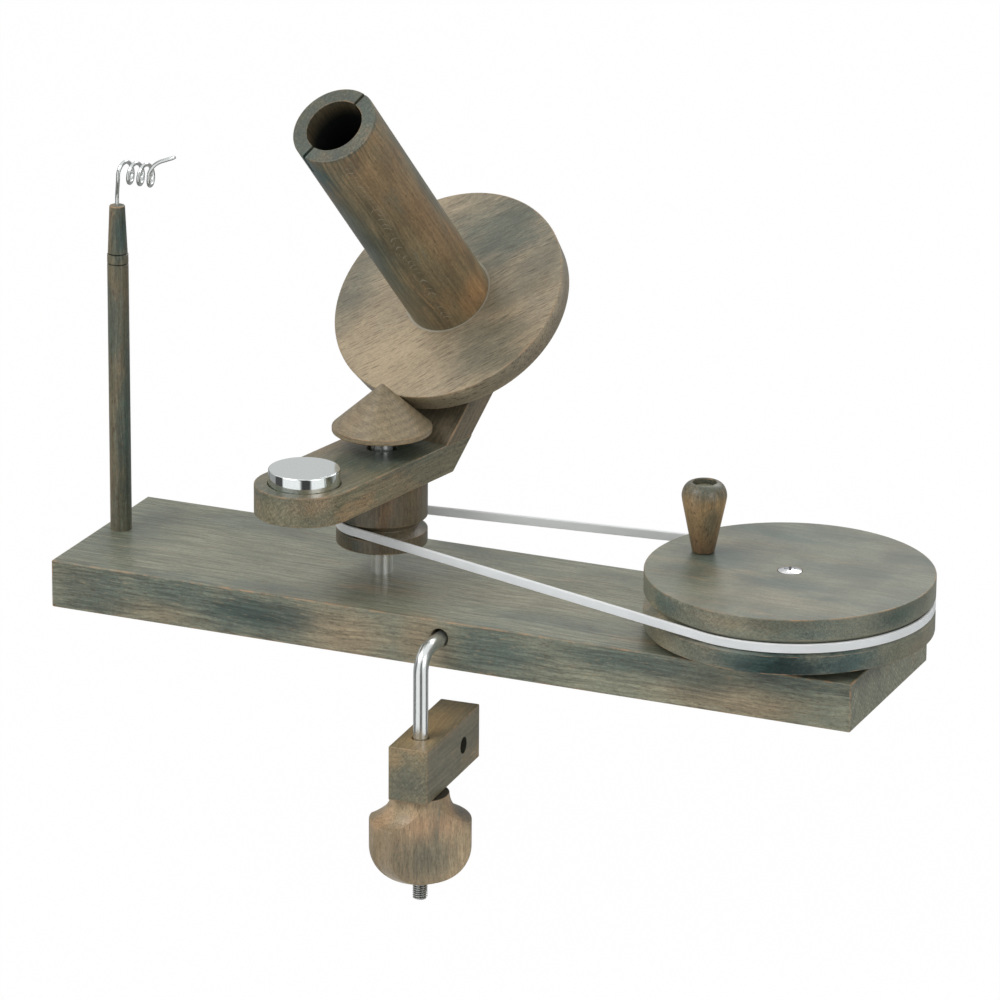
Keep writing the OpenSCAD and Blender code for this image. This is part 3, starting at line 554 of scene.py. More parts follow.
class Nodes:
    """A node tree, with a method for each kind of node that is used."""

    def __init__(self, tree):
        self.tree = tree

    def link(self, value, socket):
        if isinstance(value, bpy.types.NodeSocket):
            self.tree.links.new(value, socket)
        elif isinstance(value, (tuple, list)) and len(value) == 3 and socket.type == "RGBA":
            socket.default_value = (*value, 1)
        else:
            socket.default_value = value

    def add(self, kind, inputs=None, **settings):
        """A node. Its inputs, by name or number, are given values or outputs of other nodes."""
        node = self.tree.nodes.new("ShaderNode" + kind)
        for name, value in settings.items():
            setattr(node, name, value)
        for name, value in (inputs or {}).items():
            self.link(value, node.inputs[name])
        return node

    def mapped(self, vector, scale=(1, 1, 1), turn=(0, 0, 0), shift=(0, 0, 0)):
        turn = [radians(a) for a in turn]
        inputs = {"Vector": vector, "Location": shift, "Rotation": turn, "Scale": scale}
        return self.add("Mapping", inputs).outputs["Vector"]

    def noise(self, vector, scale=1.0, detail=3, rough=0.5, colour=False):
        inputs = {"Vector": vector, "Scale": scale, "Detail": detail, "Roughness": rough}
        return self.add("TexNoise", inputs).outputs["Color" if colour else "Fac"]

    def streaks(self, vector, along, across, detail=3, rough=0.6):
        """Noise drawn out along X: streaks of a length and a width in millimetres."""
        scale = (1 / along, 1 / across, 1 / across)
        return self.noise(self.mapped(vector, scale=scale), 1, detail, rough)

    def math(self, operation, a, b=0.0):
        return self.add("Math", {0: a, 1: b}, operation=operation).outputs[0]

    def times(self, a, b):
        return self.math("MULTIPLY", a, b)

    def swing(self, value, reach):
        """A noise value moved to lie about 0, times a reach."""
        return self.times(self.math("SUBTRACT", value, 0.5), reach)

    def total(self, *values):
        whole = values[0]
        for value in values[1:]:
            whole = self.math("ADD", whole, value)
        return whole

    def vector(self, operation, a, b=(0, 0, 0)):
        node = self.add("VectorMath", {0: a, 1: b}, operation=operation)
        return node.outputs["Value" if operation in ("LENGTH", "DOT_PRODUCT") else "Vector"]

    def step(self, value, low, high, out_low=0.0, out_high=1.0):
        """A smooth step from low to high."""
        inputs = {
            "Value": value, "From Min": low, "From Max": high, "To Min": out_low, "To Max": out_high}
        return self.add("MapRange", inputs, interpolation_type="SMOOTHSTEP").outputs["Result"]

    def mix(self, share, a, b, blend="MIX"):
        """A mix of two colours."""
        inputs = {"Factor": share, 6: a, 7: b}
        return self.add("Mix", inputs, data_type="RGBA", blend_type=blend, clamp_factor=True).outputs[2]

    def blend(self, share, a, b):
        """A mix of two shaders."""
        return self.add("MixShader", {"Fac": share, 1: a, 2: b}).outputs[0]


class Shader(Nodes):
    """A material with a Principled surface."""

    def __init__(self, name):
        self.material = bpy.data.materials.new(name)
        self.material.use_nodes = True
        super().__init__(self.material.node_tree)
        self.surface = self.tree.nodes["Principled BSDF"]

    def place(self):
        """Millimetres in the piece's own frame."""
        return self.add("Attribute", attribute_name="own").outputs["Vector"]

    def set(self, **values):
        for name, value in values.items():
            self.link(value, self.surface.inputs[name.replace("_", " ")])

    def layer(self, name):
        """The value that the mesh holds under a name: edge marks (rubbed wood, a painted highlight on
        the belt), the pale ring (a painted highlight), deep (painted shade) or sawn.
        """
        return self.add("Attribute", attribute_name=name).outputs["Fac"]

    def bump(self, height, distance, strength):
        inputs = {"Strength": strength, "Distance": distance * MM, "Height": height}
        self.set(Normal=self.add("Bump", inputs).outputs["Normal"])


def srgb(*levels):
    """A colour as a screen shows it, 0 to 255, made linear."""
    parts = [level / 255 for level in levels]
    return tuple(v / 12.92 if v <= 0.04045 else ((v + 0.055) / 1.055) ** 2.4 for v in parts)


# The stain's usual two main colours as levels on a screen, and the other colours, linear
OLIVE = (130, 128, 104)
TAN = (162, 145, 116)
BROWN = srgb(98, 80, 60)
BLUE = srgb(66, 88, 84)
NIGHT = srgb(28, 48, 46)
WORN = srgb(176, 142, 106)
# Pale: the wood's pale arches, and the painted highlight ring round the tube's foot
PALE = srgb(200, 196, 180)
RAY = srgb(78, 62, 46)
# Painted shade for places marked deep: the bore, holes, recesses and grooves
PAINTED_SHADE = srgb(4, 22, 27)

# Turns of a hatch that lies on faces square to X
ACROSS_X = ((42, 0, -90), (-48, 0, -90))


def ray_dashes(s, wood, spacing, size, sparse):
    """Short spindle shapes along the grain, one to a cell: the rays of beech."""
    scaled = s.mapped(wood, scale=[1 / length for length in spacing])
    cell = s.add("TexVoronoi", {"Vector": scaled, "Scale": 1}).outputs
    away = s.vector("SUBTRACT", scaled, cell["Position"])
    away = s.vector("MULTIPLY", away, [length / part for length, part in zip(spacing, size)])
    shape = s.step(s.vector("LENGTH", away), 1.0, 0.45)
    chosen = s.step(s.vector("DOT_PRODUCT", cell["Color"], (1, 0, 0)), sparse, sparse + 0.15)
    return s.times(shape, chosen)


def arch_row(s, own, degrees):
    """A row of small pale arches up a turned piece, on its side at an angle."""
    a = radians(degrees)
    off = s.vector("DOT_PRODUCT", own, (-sin(a), cos(a), 0))
    up = s.vector("DOT_PRODUCT", own, (0, 0, 1))
    bowed = s.times(s.times(off, off), 0.085)
    stray = s.swing(s.noise(own, 0.09, 2), 2.4)
    line = s.math("FRACT", s.total(s.math("DIVIDE", up, 4.4), bowed, stray))
    line = s.step(s.math("ABSOLUTE", s.math("SUBTRACT", line, 0.5)), 0.13, 0.03)
    side = s.step(s.vector("DOT_PRODUCT", own, (cos(a), sin(a), 0)), 0, 1)
    narrow = s.step(s.math("ABSOLUTE", off), 3.2, 1.6)
    kept = s.step(s.noise(own, 0.16, 3, 0.6), 0.44, 0.60)
    return s.times(s.times(line, side), s.times(narrow, kept))


def spots(s, where, places, wobble):
    """The most of several soft spots, each a middle, a reach along each axis and a strength."""
    most = None
    for middle, reach, strength in places:
        away = s.vector("DIVIDE", s.vector("SUBTRACT", where, middle), reach)
        far = s.math("ADD", s.vector("LENGTH", away), wobble)
        share = s.step(far, 1.45, 0.2, 0, strength)
        most = share if most is None else s.math("MAXIMUM", most, share)
    return most


def stained_beech(name, turn=(0, 0, 0), pith=(0, 30, 140), ground=OLIVE, tan=TAN,
                  blue_from=0.56, tan_from=0.54, blues=(), tans=(), darks=(),
                  dashes=0.5, rays=((5.2, 1.7, 2.2), (2.4, 0.34, 0.95)), flakes=0.45,
                  hatch=0.0, sawn=0.0, leans=((0, 42, 0), (0, -48, 0)), rings=0.05, bent=9,
                  light=1.0, gloss=0.42, arches=None, contrast=1.0, blotch=0.05):
    """Beech under a grey, blue and brown stain and a satin lacquer.

    turn brings the grain to the texture's X, and pith is where the growth rings' middle lies
    across the grain. rings and bent are their strength and how far they wander.
    ground and tan are the stain's two main colours, as levels on a screen. blue_from and
    tan_from are the noise levels at which a tint starts. blues, tans and darks are spots in the
    piece's own frame.
    rays gives the spacing and the size of the ray dashes, and dashes and flakes are strengths.
    hatch is the strength of saw marks everywhere, sawn that on the faces marked so, and leans
    the turns of the marks' directions. light, contrast and blotch are for the whole, its fibres
    and its wide clouds. gloss is the lacquer's roughness. arches is the side on which a row of
    small arches lies, in degrees.
    """
    s = Shader(name)
    ground, tan = srgb(*ground), srgb(*tan)
    own = s.place()
    wood = s.mapped(own, turn=turn)
    drift = s.noise(wood, 0.012, 2, colour=True)
    drift = s.vector("MULTIPLY", s.vector("SUBTRACT", drift, (0.5, 0.5, 0.5)), (8, 10, 10))
    wood = s.vector("ADD", wood, drift)

    # Growth rings, fibres and short flakes
    across = s.vector("MULTIPLY", s.vector("SUBTRACT", wood, pith), (0, 1, 1))
    bend = s.streaks(wood, 90, 18, 2, 0.5)
    phase = s.total(s.times(s.vector("LENGTH", across), 2.1), s.times(bend, bent))
    ring = s.math("SINE", phase)
    fibre = s.streaks(wood, 40, 1.35, 4)
    flake = s.streaks(wood, 8, 0.95, 3, 0.65)
    fine = s.streaks(wood, 3.6, 0.5, 2)
    mottle = s.noise(own, 0.75, 2, 0.6)

    # Stain: soft clouds that break up into streaks
    torn = s.total(s.swing(fibre, 0.42), s.swing(flake, 0.30))
    cloud = s.total(s.streaks(wood, 80, 30, 3, 0.5), torn)
    warm = s.total(s.streaks(s.mapped(wood, shift=(310, 170, 50)), 70, 22, 3, 0.5), s.swing(flake, 0.40))
    wobble = s.total(s.swing(s.streaks(wood, 28, 12, 3), 1.3), s.times(torn, 1.1))
    blue_share = s.step(cloud, blue_from, blue_from + 0.20, 0, 0.62)
    tan_share = s.step(warm, tan_from, tan_from + 0.20, 0, 0.85)
    # Blue spots: stain, with a painted shadow on the wheel and a painted sheen on the tube
    if blues:
        blue_share = s.math("MAXIMUM", blue_share, spots(s, own, blues, wobble))
    if tans:
        tan_share = s.math("MAXIMUM", tan_share, spots(s, own, tans, wobble))
    colour = s.mix(tan_share, ground, tan)
    colour = s.mix(blue_share, colour, BLUE)
    # Dark spots: stain, and on some pieces painted shade or shadow
    if darks:
        colour = s.mix(spots(s, own, darks, wobble), colour, NIGHT)
    flaked = s.math("SUBTRACT", flakes, s.times(s.layer("sawn"), flakes * 0.6))
    colour = s.mix(s.times(s.step(flake, 0.58, 0.72, 0, 0.55), flaked), colour, tan)
    colour = s.mix(s.times(s.step(flake, 0.42, 0.28, 0, 0.60), flaked), colour, BROWN)

    # Light and dark along the fibres
    dim, bright = (1 - 0.22 * contrast) * light, (1 + 0.17 * contrast) * light
    shade = s.math("ADD", s.step(fibre, 0.28, 0.72, dim, bright), s.times(ring, rings))
    wide = s.step(s.noise(own, 0.032, 2), 0.34, 0.66, 1 - blotch * 1.4, 1 + blotch)
    narrow = s.step(fine, 0.25, 0.75, 0.82, 1.16)
    for part in (wide, narrow, s.step(mottle, 0.30, 0.70, 0.92, 1.08)):
        shade = s.times(shade, part)
    if hatch or sawn:
        marks = s.total(s.times(s.layer("sawn"), sawn), hatch)
        for lean in leans:
            lines = s.step(s.streaks(s.mapped(own, turn=lean), 18, 0.45, 2), 0.36, 0.64, -1, 1.1)
            shade = s.times(shade, s.total(s.times(lines, marks), 1))
    grey = s.add("CombineXYZ", {0: shade, 1: shade, 2: shade}).outputs[0]
    colour = s.mix(1.0, colour, grey, "MULTIPLY")

    # Rays, stained darker than the wood round them
    dark = ray_dashes(s, wood, *rays, 0.28)
    colour = s.mix(s.times(dark, dashes), colour, RAY)

    if arches is not None:
        colour = s.mix(s.times(arch_row(s, own, arches), 0.30), colour, PALE)

    # Edges, where the stain is thin; the pale ring, a painted highlight; and places marked deep,
    # darkened as painted shade
    patchy = s.step(s.noise(wood, 0.11, 3, 0.65), 0.42, 0.68, 0.05, 0.75)
    colour = s.mix(s.times(s.layer("wear_and_highlight"), patchy), colour, WORN)
    colour = s.mix(s.layer("ring"), colour, PALE)
    colour = s.mix(s.times(s.layer("deep"), 0.93), colour, PAINTED_SHADE)
    s.set(Base_Color=colour, Roughness=s.step(fine, 0.2, 0.8, gloss - 0.05, gloss + 0.08),
          Coat_Weight=0.22, Coat_Roughness=0.24, Specular_IOR_Level=0.35)
    s.bump(s.total(s.times(fine, 0.5), s.times(dark, -0.6)), 0.05, 0.5)
    return s.material


def metal(name, colour, rough, streak=0.05, scratch=(1, 1, 1), bare=1.0):
    """A metal whose roughness wanders by streak, in a grain of the fineness scratch on each axis."""
    s = Shader(name)
    s.set(Metallic=bare)
    grain = s.noise(s.mapped(s.place(), scale=scratch), 1.0, 3, 0.6)
    colour = s.mix(s.step(grain, 0.3, 0.7), [c * 0.93 for c in colour], colour)
    # Places marked deep, the rod's thread grooves, are darkened: painted shade
    colour = s.mix(s.times(s.layer("deep"), 0.92), colour, (0.03, 0.035, 0.035))
    s.set(Base_Color=colour, Roughness=s.step(grain, 0.25, 0.75, rough - streak / 2, rough + streak))
    return s.material


def smooth_band(name, colour, edge_highlight, rough):
    """A soft plastic that scatters light below its surface."""
    s = Shader(name)
    where = s.place()
    soft = s.noise(where, 0.05, 2)
    base = s.mix(s.step(soft, 0.35, 0.65), [c * 0.94 for c in colour], colour)
    grain = s.noise(where, 0.8, 3)
    # Faces marked at the edges take the edge highlight colour: on the belt, a painted highlight along
    # its rounded edges
    s.set(Base_Color=s.mix(s.layer("wear_and_highlight"), base, edge_highlight),
          Roughness=s.step(grain, 0.3, 0.7, rough - 0.04, rough + 0.06),
          Subsurface_Weight=0.5, Subsurface_Radius=(0.0015, 0.0015, 0.0015))
    s.bump(s.noise(where, 1.5, 2), 0.02, 0.4)
    return s.material


# Pieces


def marked(bm, layer, test, value=1.0):
    """The mesh with a value on the faces whose middles pass a test."""
    shares = bm.faces.layers.float.get(layer) or bm.faces.layers.float.new(layer)
    for face in bm.faces:
        if test(face.calc_center_median()):
            face[shares] = value
    return bm


def shaded(bm, layer, share):
    """The mesh with a value at each point, from a function of the point."""
    shares = bm.verts.layers.float.get(layer) or bm.verts.layers.float.new(layer)
    for vert in bm.verts:
        vert[shares] = share(vert.co)
    return bm


def radius_of(point):
    return hypot(point.x, point.y)


def piece(name, bm, body, node, material, place=Matrix()):
    """A smooth-shaded object in the frame, made from a mesh in millimetres.

    Each point keeps its place in the piece's own frame, for the material.
    """
    bmesh.ops.recalc_face_normals(bm, faces=bm.faces)
    own = bm.verts.layers.float_vector.new("own")
    for vert in bm.verts:
        vert[own] = vert.co
    bmesh.ops.scale(bm, vec=(MM, MM, MM), verts=bm.verts)
    bm.transform(place)
    mesh = bpy.data.meshes.new(name)
    bm.to_mesh(mesh)
    bm.free()
    mesh.materials.append(material)
    mesh.shade_smooth()
    mesh.set_sharp_from_angle(angle=radians(42))
    obj = added(name, mesh)
    even = obj.modifiers.new("even", "WEIGHTED_NORMAL")
    even.keep_sharp = True
    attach(obj, body)
    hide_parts(node)


def wooden(name, bm, body, node, place=Matrix(), **finish):
    """A piece of stained beech."""
    piece(name, bm, body, node, stained_beech("wood_" + name, **finish), place)


def at(point, z=0, angle=0):
    """A place over or under a point, at a height in millimetres, with a turn about Z."""
    return Matrix.Translation(Vector((point.x, point.y, z)) * MM) @ Matrix.Rotation(angle, 4, "Z")


def flyer_place():
    """X runs out along the arm from the shaft."""
    return at(SHAFT, 0, FLYER_TURN)


def spindle_place():
    """Z runs up the spindle's axis from the disc's face, and X up the inclined plate."""
    return at(DISC, DISC.z, FLYER_TURN) @ Matrix.Rotation(RISE - pi / 2, 4, "Y")


def drill(radius, low, high, flare=0.35, sides=64):
    """A cutter for a hole whose upper rim is broken."""
    return turned([
        (0, low), (radius, low), (radius, high - flare), (radius + flare, high),
        (radius + flare, high + 5), (0, high + 5)], sides=sides)


def make_board():
    low, high = BOARD_LOW, BOARD_HIGH
    hole = drill(ROD_HOLE_D / 2, -ROD_HOLE_DEEP, 0, 0.5)
    moved(hole, (ROD_HOLE_X, low.y, ROD_HOLE_Z), pi / 2, "X")
    board = carved(softened(block(low, high), BOARD_EDGE, 4), hole)
    marked(board, "sawn", lambda point: abs(point.x) > high.x - 0.1)
    front, top, end = low.y, high.z, high.x
    wooden(
        "board", board, "root", "base_board", ground=(137, 138, 118), blue_from=0.59,
        tan_from=0.58, flakes=1.3, dashes=0.3, hatch=0.03, sawn=0.14, leans=ACROSS_X, contrast=1.5,
        blues=[((-205, front, 14), (34, 14, 18), 0.65), ((-155, front, 20), (36, 14, 12), 0.65),
               ((-112, front, 14), (40, 14, 13), 0.8), ((30, front, 14), (34, 12, 18), 0.7),
               ((110, front, 20), (60, 12, 8), 0.7), ((146, front, 16), (26, 12, 10), 0.5),
               ((200, front, 24), (34, 14, 9), 0.6), ((-215, 0, top), (26, 70, 6), 0.45),
               ((-150, 40, top), (60, 16, 6), 0.40), ((60, -36, top), (50, 12, 6), 0.4),
               ((-70, 20, top), (40, 14, 6), 0.35)],
        tans=[((-175, front, 7), (34, 10, 7), 0.55), ((-58, front, 11), (28, 10, 15), 0.85),
              ((-8, front, 13), (18, 10, 16), 0.9), ((165, front, 8), (45, 12, 10), 0.8),
              ((-215, front, 16), (16, 12, 12), 0.5), ((20, -10, top), (60, 16, 6), 0.2)],
        # The first dark spot, along the right end's top edge, is the wheel's shadow, painted; the second
        # is stain
        darks=[((end, -20, top), (8, 70, 9), 0.45), ((-108, front, 14), (28, 10, 10), 0.4)])


def make_shaft():
    low, high = box_of("winding_shaft")
    bm = turned([(0, low.z), (SHAFT_R, low.z, 0.4), (SHAFT_R, high.z, 0.4), (0, high.z)], sides=96)
    steel = metal("steel_shaft", (0.94, 0.96, 0.95), 0.16, 0.04, (6, 6, 0.6), 0.75)
    piece("shaft", bm, "root", "winding_shaft", steel, at(SHAFT))


def make_cone():
    height = CONE_HIGH.z - CONE_LOW.z
    tip = CONE_RIM + CONE_SLOPE
    bm = turned([
        (0, 0), (CONE_R, 0, 0.9), (CONE_R, CONE_RIM, 0.8), (0.01, tip, CONE_TIP_R), (0, tip)], steps=6)
    for vert in bm.verts:
        vert.co.z = min(vert.co.z, height)
    wooden(
        "cone", bm, "root", "friction_cone", at(SHAFT, CONE_LOW.z), turn=(0, 0, 23),
        pith=(0, 6, -60), ground=(146, 132, 106), tan=(168, 145, 112), rings=0.11, bent=2.5,
        dashes=0.12, contrast=0.7, blue_from=0.74, tan_from=0.50,
        tans=[((-14, -16, 8), (20, 14, 10), 0.25)])


def grooved(radius, height, groove, bore, seat=None):
    """Outline of a wheel with a V groove and a bore, which may widen at its foot."""
    low, mouth, deep = groove
    foot = [(bore, seat[1]), seat, (seat[0], 0, 0.3)] if seat else [(bore, 0, 0.3)]
    return foot + [
        (radius, 0, 0.6), (radius, low, 0.4), (radius - deep, low + mouth / 2, 0.6),
        (radius, low + mouth, 0.4), (radius, height, 0.6)]


def make_pulley():
    height = PULLEY_HIGH.z - PULLEY_LOW.z
    outline = grooved(PULLEY_R, height, GROOVE_PULLEY, BUSH_R, (COLLAR_SEAT_R, COLLAR_SEAT_H))
    bm = turned(outline + [(BUSH_R, height)], loop=True)
    wooden(
        "pulley", bm, "flyer", "small_pulley", at(SHAFT, PULLEY_LOW.z), turn=(0, 90, 0),
        ground=(110, 100, 80), tan=(140, 110, 80), flakes=0.6, blue_from=0.50, hatch=0.05,
        light=0.9)


def make_arm():
    """The bar on the shaft, its one end round and its other end cut along the plate's outer face."""
    z_low, z_high = ARM_LOW.z, ARM_HIGH.z
    end_high = PLATE_FOOT + PLATE_T / cos(RISE)
    end_low = end_high - (z_high - z_low) * math.tan(RISE)
    low = stadium(WEIGHT_REACH, ARM_W, end_low)
    high = stadium(WEIGHT_REACH, ARM_W, end_high)
    bar = softened(prism(low, high, z_low, z_high), 0.7, choose=lambda point: point.x < end_low - 1)
    hole = drill(ARM_HOLE_R, z_low - 5, z_high, sides=96)
    seat = drill(WEIGHT_R + 0.35, z_high - WEIGHT_SEAT, z_high, sides=128)
    moved(seat, (-WEIGHT_REACH, 0, 0))
    wooden(
        "arm", carved(bar, hole, seat), "flyer", "flyer_arm", flyer_place(),
        ground=(124, 119, 95), tan=(160, 134, 100), hatch=0.15, flakes=0.5, dashes=0.4,
        leans=ACROSS_X, blue_from=0.60,
        blues=[((-6, -8, z_high), (42, 22, 6), 0.75), ((-92, 0, z_high), (8, 26, 6), 0.4)],
        tans=[((-20, 24, z_low + 8), (40, 8, 14), 0.5), ((-92, -20, z_low + 14), (16, 12, 8), 0.6)])


def plate_level():
    """Distance from the disc's face back to the plate's inner face, and down it to the arm's top."""
    run = Vector((Vector((AXIS.x, AXIS.y)).length, AXIS.z))
    out = Vector((DISC.x - SHAFT.x, DISC.y - SHAFT.y)).length - PLATE_FOOT
    rise = DISC.z - ARM_HIGH.z
    return rise * run.y - out * run.x, rise * run.x + out * run.y


def make_plate():
    inner, foot = plate_level()
    foot_out = foot - PLATE_T * math.tan(RISE)
    low = [(-x, y) for x, y in stadium(0, ARM_W, foot_out)]
    high = [(-x, y) for x, y in stadium(0, ARM_W, foot)]
    bm = prism(low, high, -inner - PLATE_T, -inner)
    bm = softened(bm, 0.7, choose=lambda point: point.x > 1 - foot_out)
    wooden(
        "plate", bm, "flyer", "flyer_plate", spindle_place(), ground=(124, 112, 90),
        tan=(156, 130, 98), flakes=0.5, hatch=0.05, blue_from=0.62,
        # The dark spot on the inner face is painted shade under the disc
        darks=[((0, 0, -inner), (90, 90, 7), 0.5)])


def make_counterweight():
    height = WEIGHT_HIGH.z - WEIGHT_LOW.z
    bm = turned([(0, 0), (WEIGHT_R, 0, 0.3), (WEIGHT_R, height, 0.8), (0, height)], steps=6, sides=160)
    chrome = metal("polished_chrome", (0.81, 0.86, 0.85), 0.07, 0.02)
    piece("weight", bm, "flyer", "counterweight", chrome,
          flyer_place() @ at(Vector((-WEIGHT_REACH, 0)), WEIGHT_LOW.z))


def make_disc():
    rim, seat = TUBE_R + 0.05, TUBE_FOOT_R + 0.05
    bm = turned([
        (BUSH_R, -DISC_T, 0.3), (DISC_BACK_R, -DISC_T, 0.9), (DISC_R, 0, 0.7), (rim + 1.4, 0, 0.3),
        (rim, -0.5), (seat, -0.5), (seat, -TUBE_SEAT), (BUSH_R, -TUBE_SEAT)], loop=True, sides=192)
    # A pale ring on the rounded edge round the tube's foot: a painted highlight
    marked(bm, "ring", lambda point: rim < radius_of(point) < rim + 1.6 and -0.6 < point.z < -0.02, 0.8)
    marked(bm, "sawn", lambda point: radius_of(point) > DISC_BACK_R - 0.5)
    wooden(
        "disc", bm, "spindle", "spindle_disc", spindle_place(), turn=(0, 0, 45.7), pith=(0, 10, 160),
        ground=(178, 162, 135), tan=(192, 171, 138), dashes=0.6,
        rays=((7, 1.3, 2.2), (4.0, 0.32, 0.95)), flakes=0.35, blue_from=0.70, tan_from=0.52,
        sawn=0.06, gloss=0.40, contrast=0.35, rings=0.03,
        blues=[((46, -14, 0), (34, 34, 12), 0.72), ((30, -44, 0), (30, 20, 12), 0.4),
               ((-29, -41, 0), (24, 22, 12), 0.5), ((-8, 60, 0), (40, 16, 12), 0.5),
               ((4, -33, 0), (14, 14, 12), 0.3)],
        tans=[((-50, 8, 0), (26, 40, 8), 0.7), ((-36, 44, 0), (24, 20, 8), 0.5),
              ((17, -52, 0), (8, 8, 5), 0.8)],
        darks=[((0, 0, -DISC_T / 2 - 3), (200, 200, 9), 0.45)])


def make_tube():
    bore = [(TUBE_BORE_R, -TUBE_SEAT), (TUBE_FOOT_R, -TUBE_SEAT), (TUBE_FOOT_R, -0.45)]
    walls = [(TUBE_R, -0.45), (TUBE_R, TUBE_L, 0.6), (TUBE_BORE_R, TUBE_L, 0.4)]
    walls += [(TUBE_BORE_R, TUBE_L - down) for down in (1, 4, 8, 13, 20, 40)]
    bm = turned(bore + walls, loop=True, sides=160)
    width, deep, turn = KERF
    cut = block((-TUBE_R * 2, -width / 2, TUBE_L - deep), (TUBE_R * 2, width / 2, TUBE_L + 5))
    bm = carved(bm, moved(cut, angle=radians(turn)))
    # The bore darkens down from its mouth: painted shade
    shaded(bm, "deep", lambda point: bore_shade(radius_of(point), TUBE_L - point.z))
    wooden(
        "tube", bm, "spindle", "winding_tube", spindle_place(), turn=(0, 90, 0), pith=(0, -60, 30),
        ground=(134, 118, 88), tan=(166, 130, 90), contrast=1.1, blotch=0.10, flakes=0.5,
        dashes=0.35, blue_from=0.62, tan_from=0.50, arches=215,
        blues=[((0, 0, TUBE_L + 1), (60, 60, 3), 0.80), ((-22, 7, TUBE_L - 14), (9, 13, 30), 1.0),
               # The spot at (15, -18) on the right side is stain and a painted sheen
               ((-23, 5, TUBE_L - 80), (8, 14, 76), 0.75), ((15, -18, TUBE_L - 60), (8, 7, 70), 0.5)],
        tans=[((-2, -23, 10), (14, 9, 14), 0.9), ((-13, -19, TUBE_L - 26), (9, 8, 30), 0.45),
              ((-2, -23, TUBE_L - 74), (10, 8, 46), 0.6)],
        darks=[((9, -21, 24), (6, 6, 12), 0.45), ((-19, -13, 70), (5, 6, 70), 0.35),
               ((-16, -16, TUBE_L - 8), (9, 9, 9), 0.45)])


def bore_shade(radius, down):
    """How much painted shade darkens the bore at a distance down from the mouth; nothing on the outside.
    """
    if radius > TUBE_BORE_R + 0.5 or down < 0.8:
        return 0
    return min(0.35 + down / 20, 1)


def make_wheel():
    height = WHEEL_HIGH.z - WHEEL_LOW.z
    shank, head = WHEEL_SCREW_R + HEAD_GAP, WHEEL_HEAD_R + HEAD_GAP
    outline = grooved(WHEEL_R, height, GROOVE_WHEEL, shank)
    rim = height - WHEEL_HEAD_RIM
    mouth = [(head, height, 0.3), (head, rim), (shank, rim - head + shank)]
    bm = turned(outline + mouth, loop=True, sides=224)
    marked(bm, "sawn", lambda point: radius_of(point) > WHEEL_R - 0.7)
    r, top = WHEEL_R, height
    wooden(
        "wheel", bm, "wheel", "drive_wheel", at(WHEEL_MID, WHEEL_LOW.z),
        ground=(122, 124, 107), tan=(150, 138, 112), sawn=0.12, flakes=0.3, contrast=0.7,
        blotch=0.12, dashes=0.25, gloss=0.40, rings=0.02, blue_from=0.55, tan_from=0.55,
        blues=[(polar(r, -77, 4), (32, 20, 12), 1.0), (polar(r, -48, 5), (26, 22, 9), 1.0),
               (polar(r, -128, top - 5), (12, 12, 6), 0.65), (polar(r, -60, top - 8), (14, 12, 4), 0.55),
               (polar(r, -22, top - 5), (18, 18, 6), 0.65), (polar(30, 20, top), (30, 12, 5), 0.35),
               (polar(50, 200, top), (16, 26, 5), 0.45), (polar(60, 100, top), (40, 14, 5), 0.40),
               # The spot at (-42, 2) beside the grip is stain and a painted shadow and reflection of the
               # grip
               ((-42, 2, top), (20, 22, 5), 0.6), ((6, -22, top), (28, 9, 5), 0.5)],
        tans=[(polar(r, -130, 4), (20, 16, 7), 0.5), (polar(r, -92, top - 5), (22, 14, 5), 0.65),
              (polar(46, -75, top), (40, 16, 5), 0.4), (polar(r, -5, 4), (20, 20, 7), 0.5)],
        # The first dark spot, with the blue spots low on the rim's front, is stain darkened further by
        # painted shade under the belt and the upper rim
        darks=[(polar(r, -67, 3), (26, 16, 12), 1.0), (polar(r, -76, top - 3), (24, 20, 4), 0.3)])


def polar(radius, degrees, z):
    angle = radians(degrees)
    return (radius * cos(angle), radius * sin(angle), z)


def make_wheel_screw():
    """A raised countersunk head with a tapered cross recess."""
    top = WHEEL_HIGH.z
    low = box_of("wheel_screw")[0].z
    cone = WHEEL_HEAD_R - WHEEL_SCREW_R
    sphere = (WHEEL_HEAD_R ** 2 + WHEEL_HEAD_DOME ** 2) / (2 * WHEEL_HEAD_DOME)
    reach = math.asin(WHEEL_HEAD_R / sphere)
    middle = top + WHEEL_HEAD_DOME - sphere
    steps = [reach * (1 - i / 8) for i in range(9)]
    dome = [(sphere * sin(a), middle + sphere * cos(a)) for a in steps]
    bm = turned([
        (0, low), (WHEEL_SCREW_R, low, 0.4), (WHEEL_SCREW_R, top - WHEEL_HEAD_RIM - cone),
        (WHEEL_HEAD_R, top - WHEEL_HEAD_RIM)] + dome, sides=96)
    foot, mouth = ([(-x, -y), (x, -y), (x, y), (-x, y)] for x, y in CROSS_WINGS)
    wings = [
        moved(prism(foot, mouth, top - 2.6, top + 2.2), angle=radians(turn)) for turn in (20, 110)]
    chrome = metal("screw_chrome", (0.86, 0.87, 0.88), 0.12, 0.04)
    piece("wheel_pivot", carved(bm, *wings), "root", "wheel_screw", chrome,
          at(WHEEL_MID))


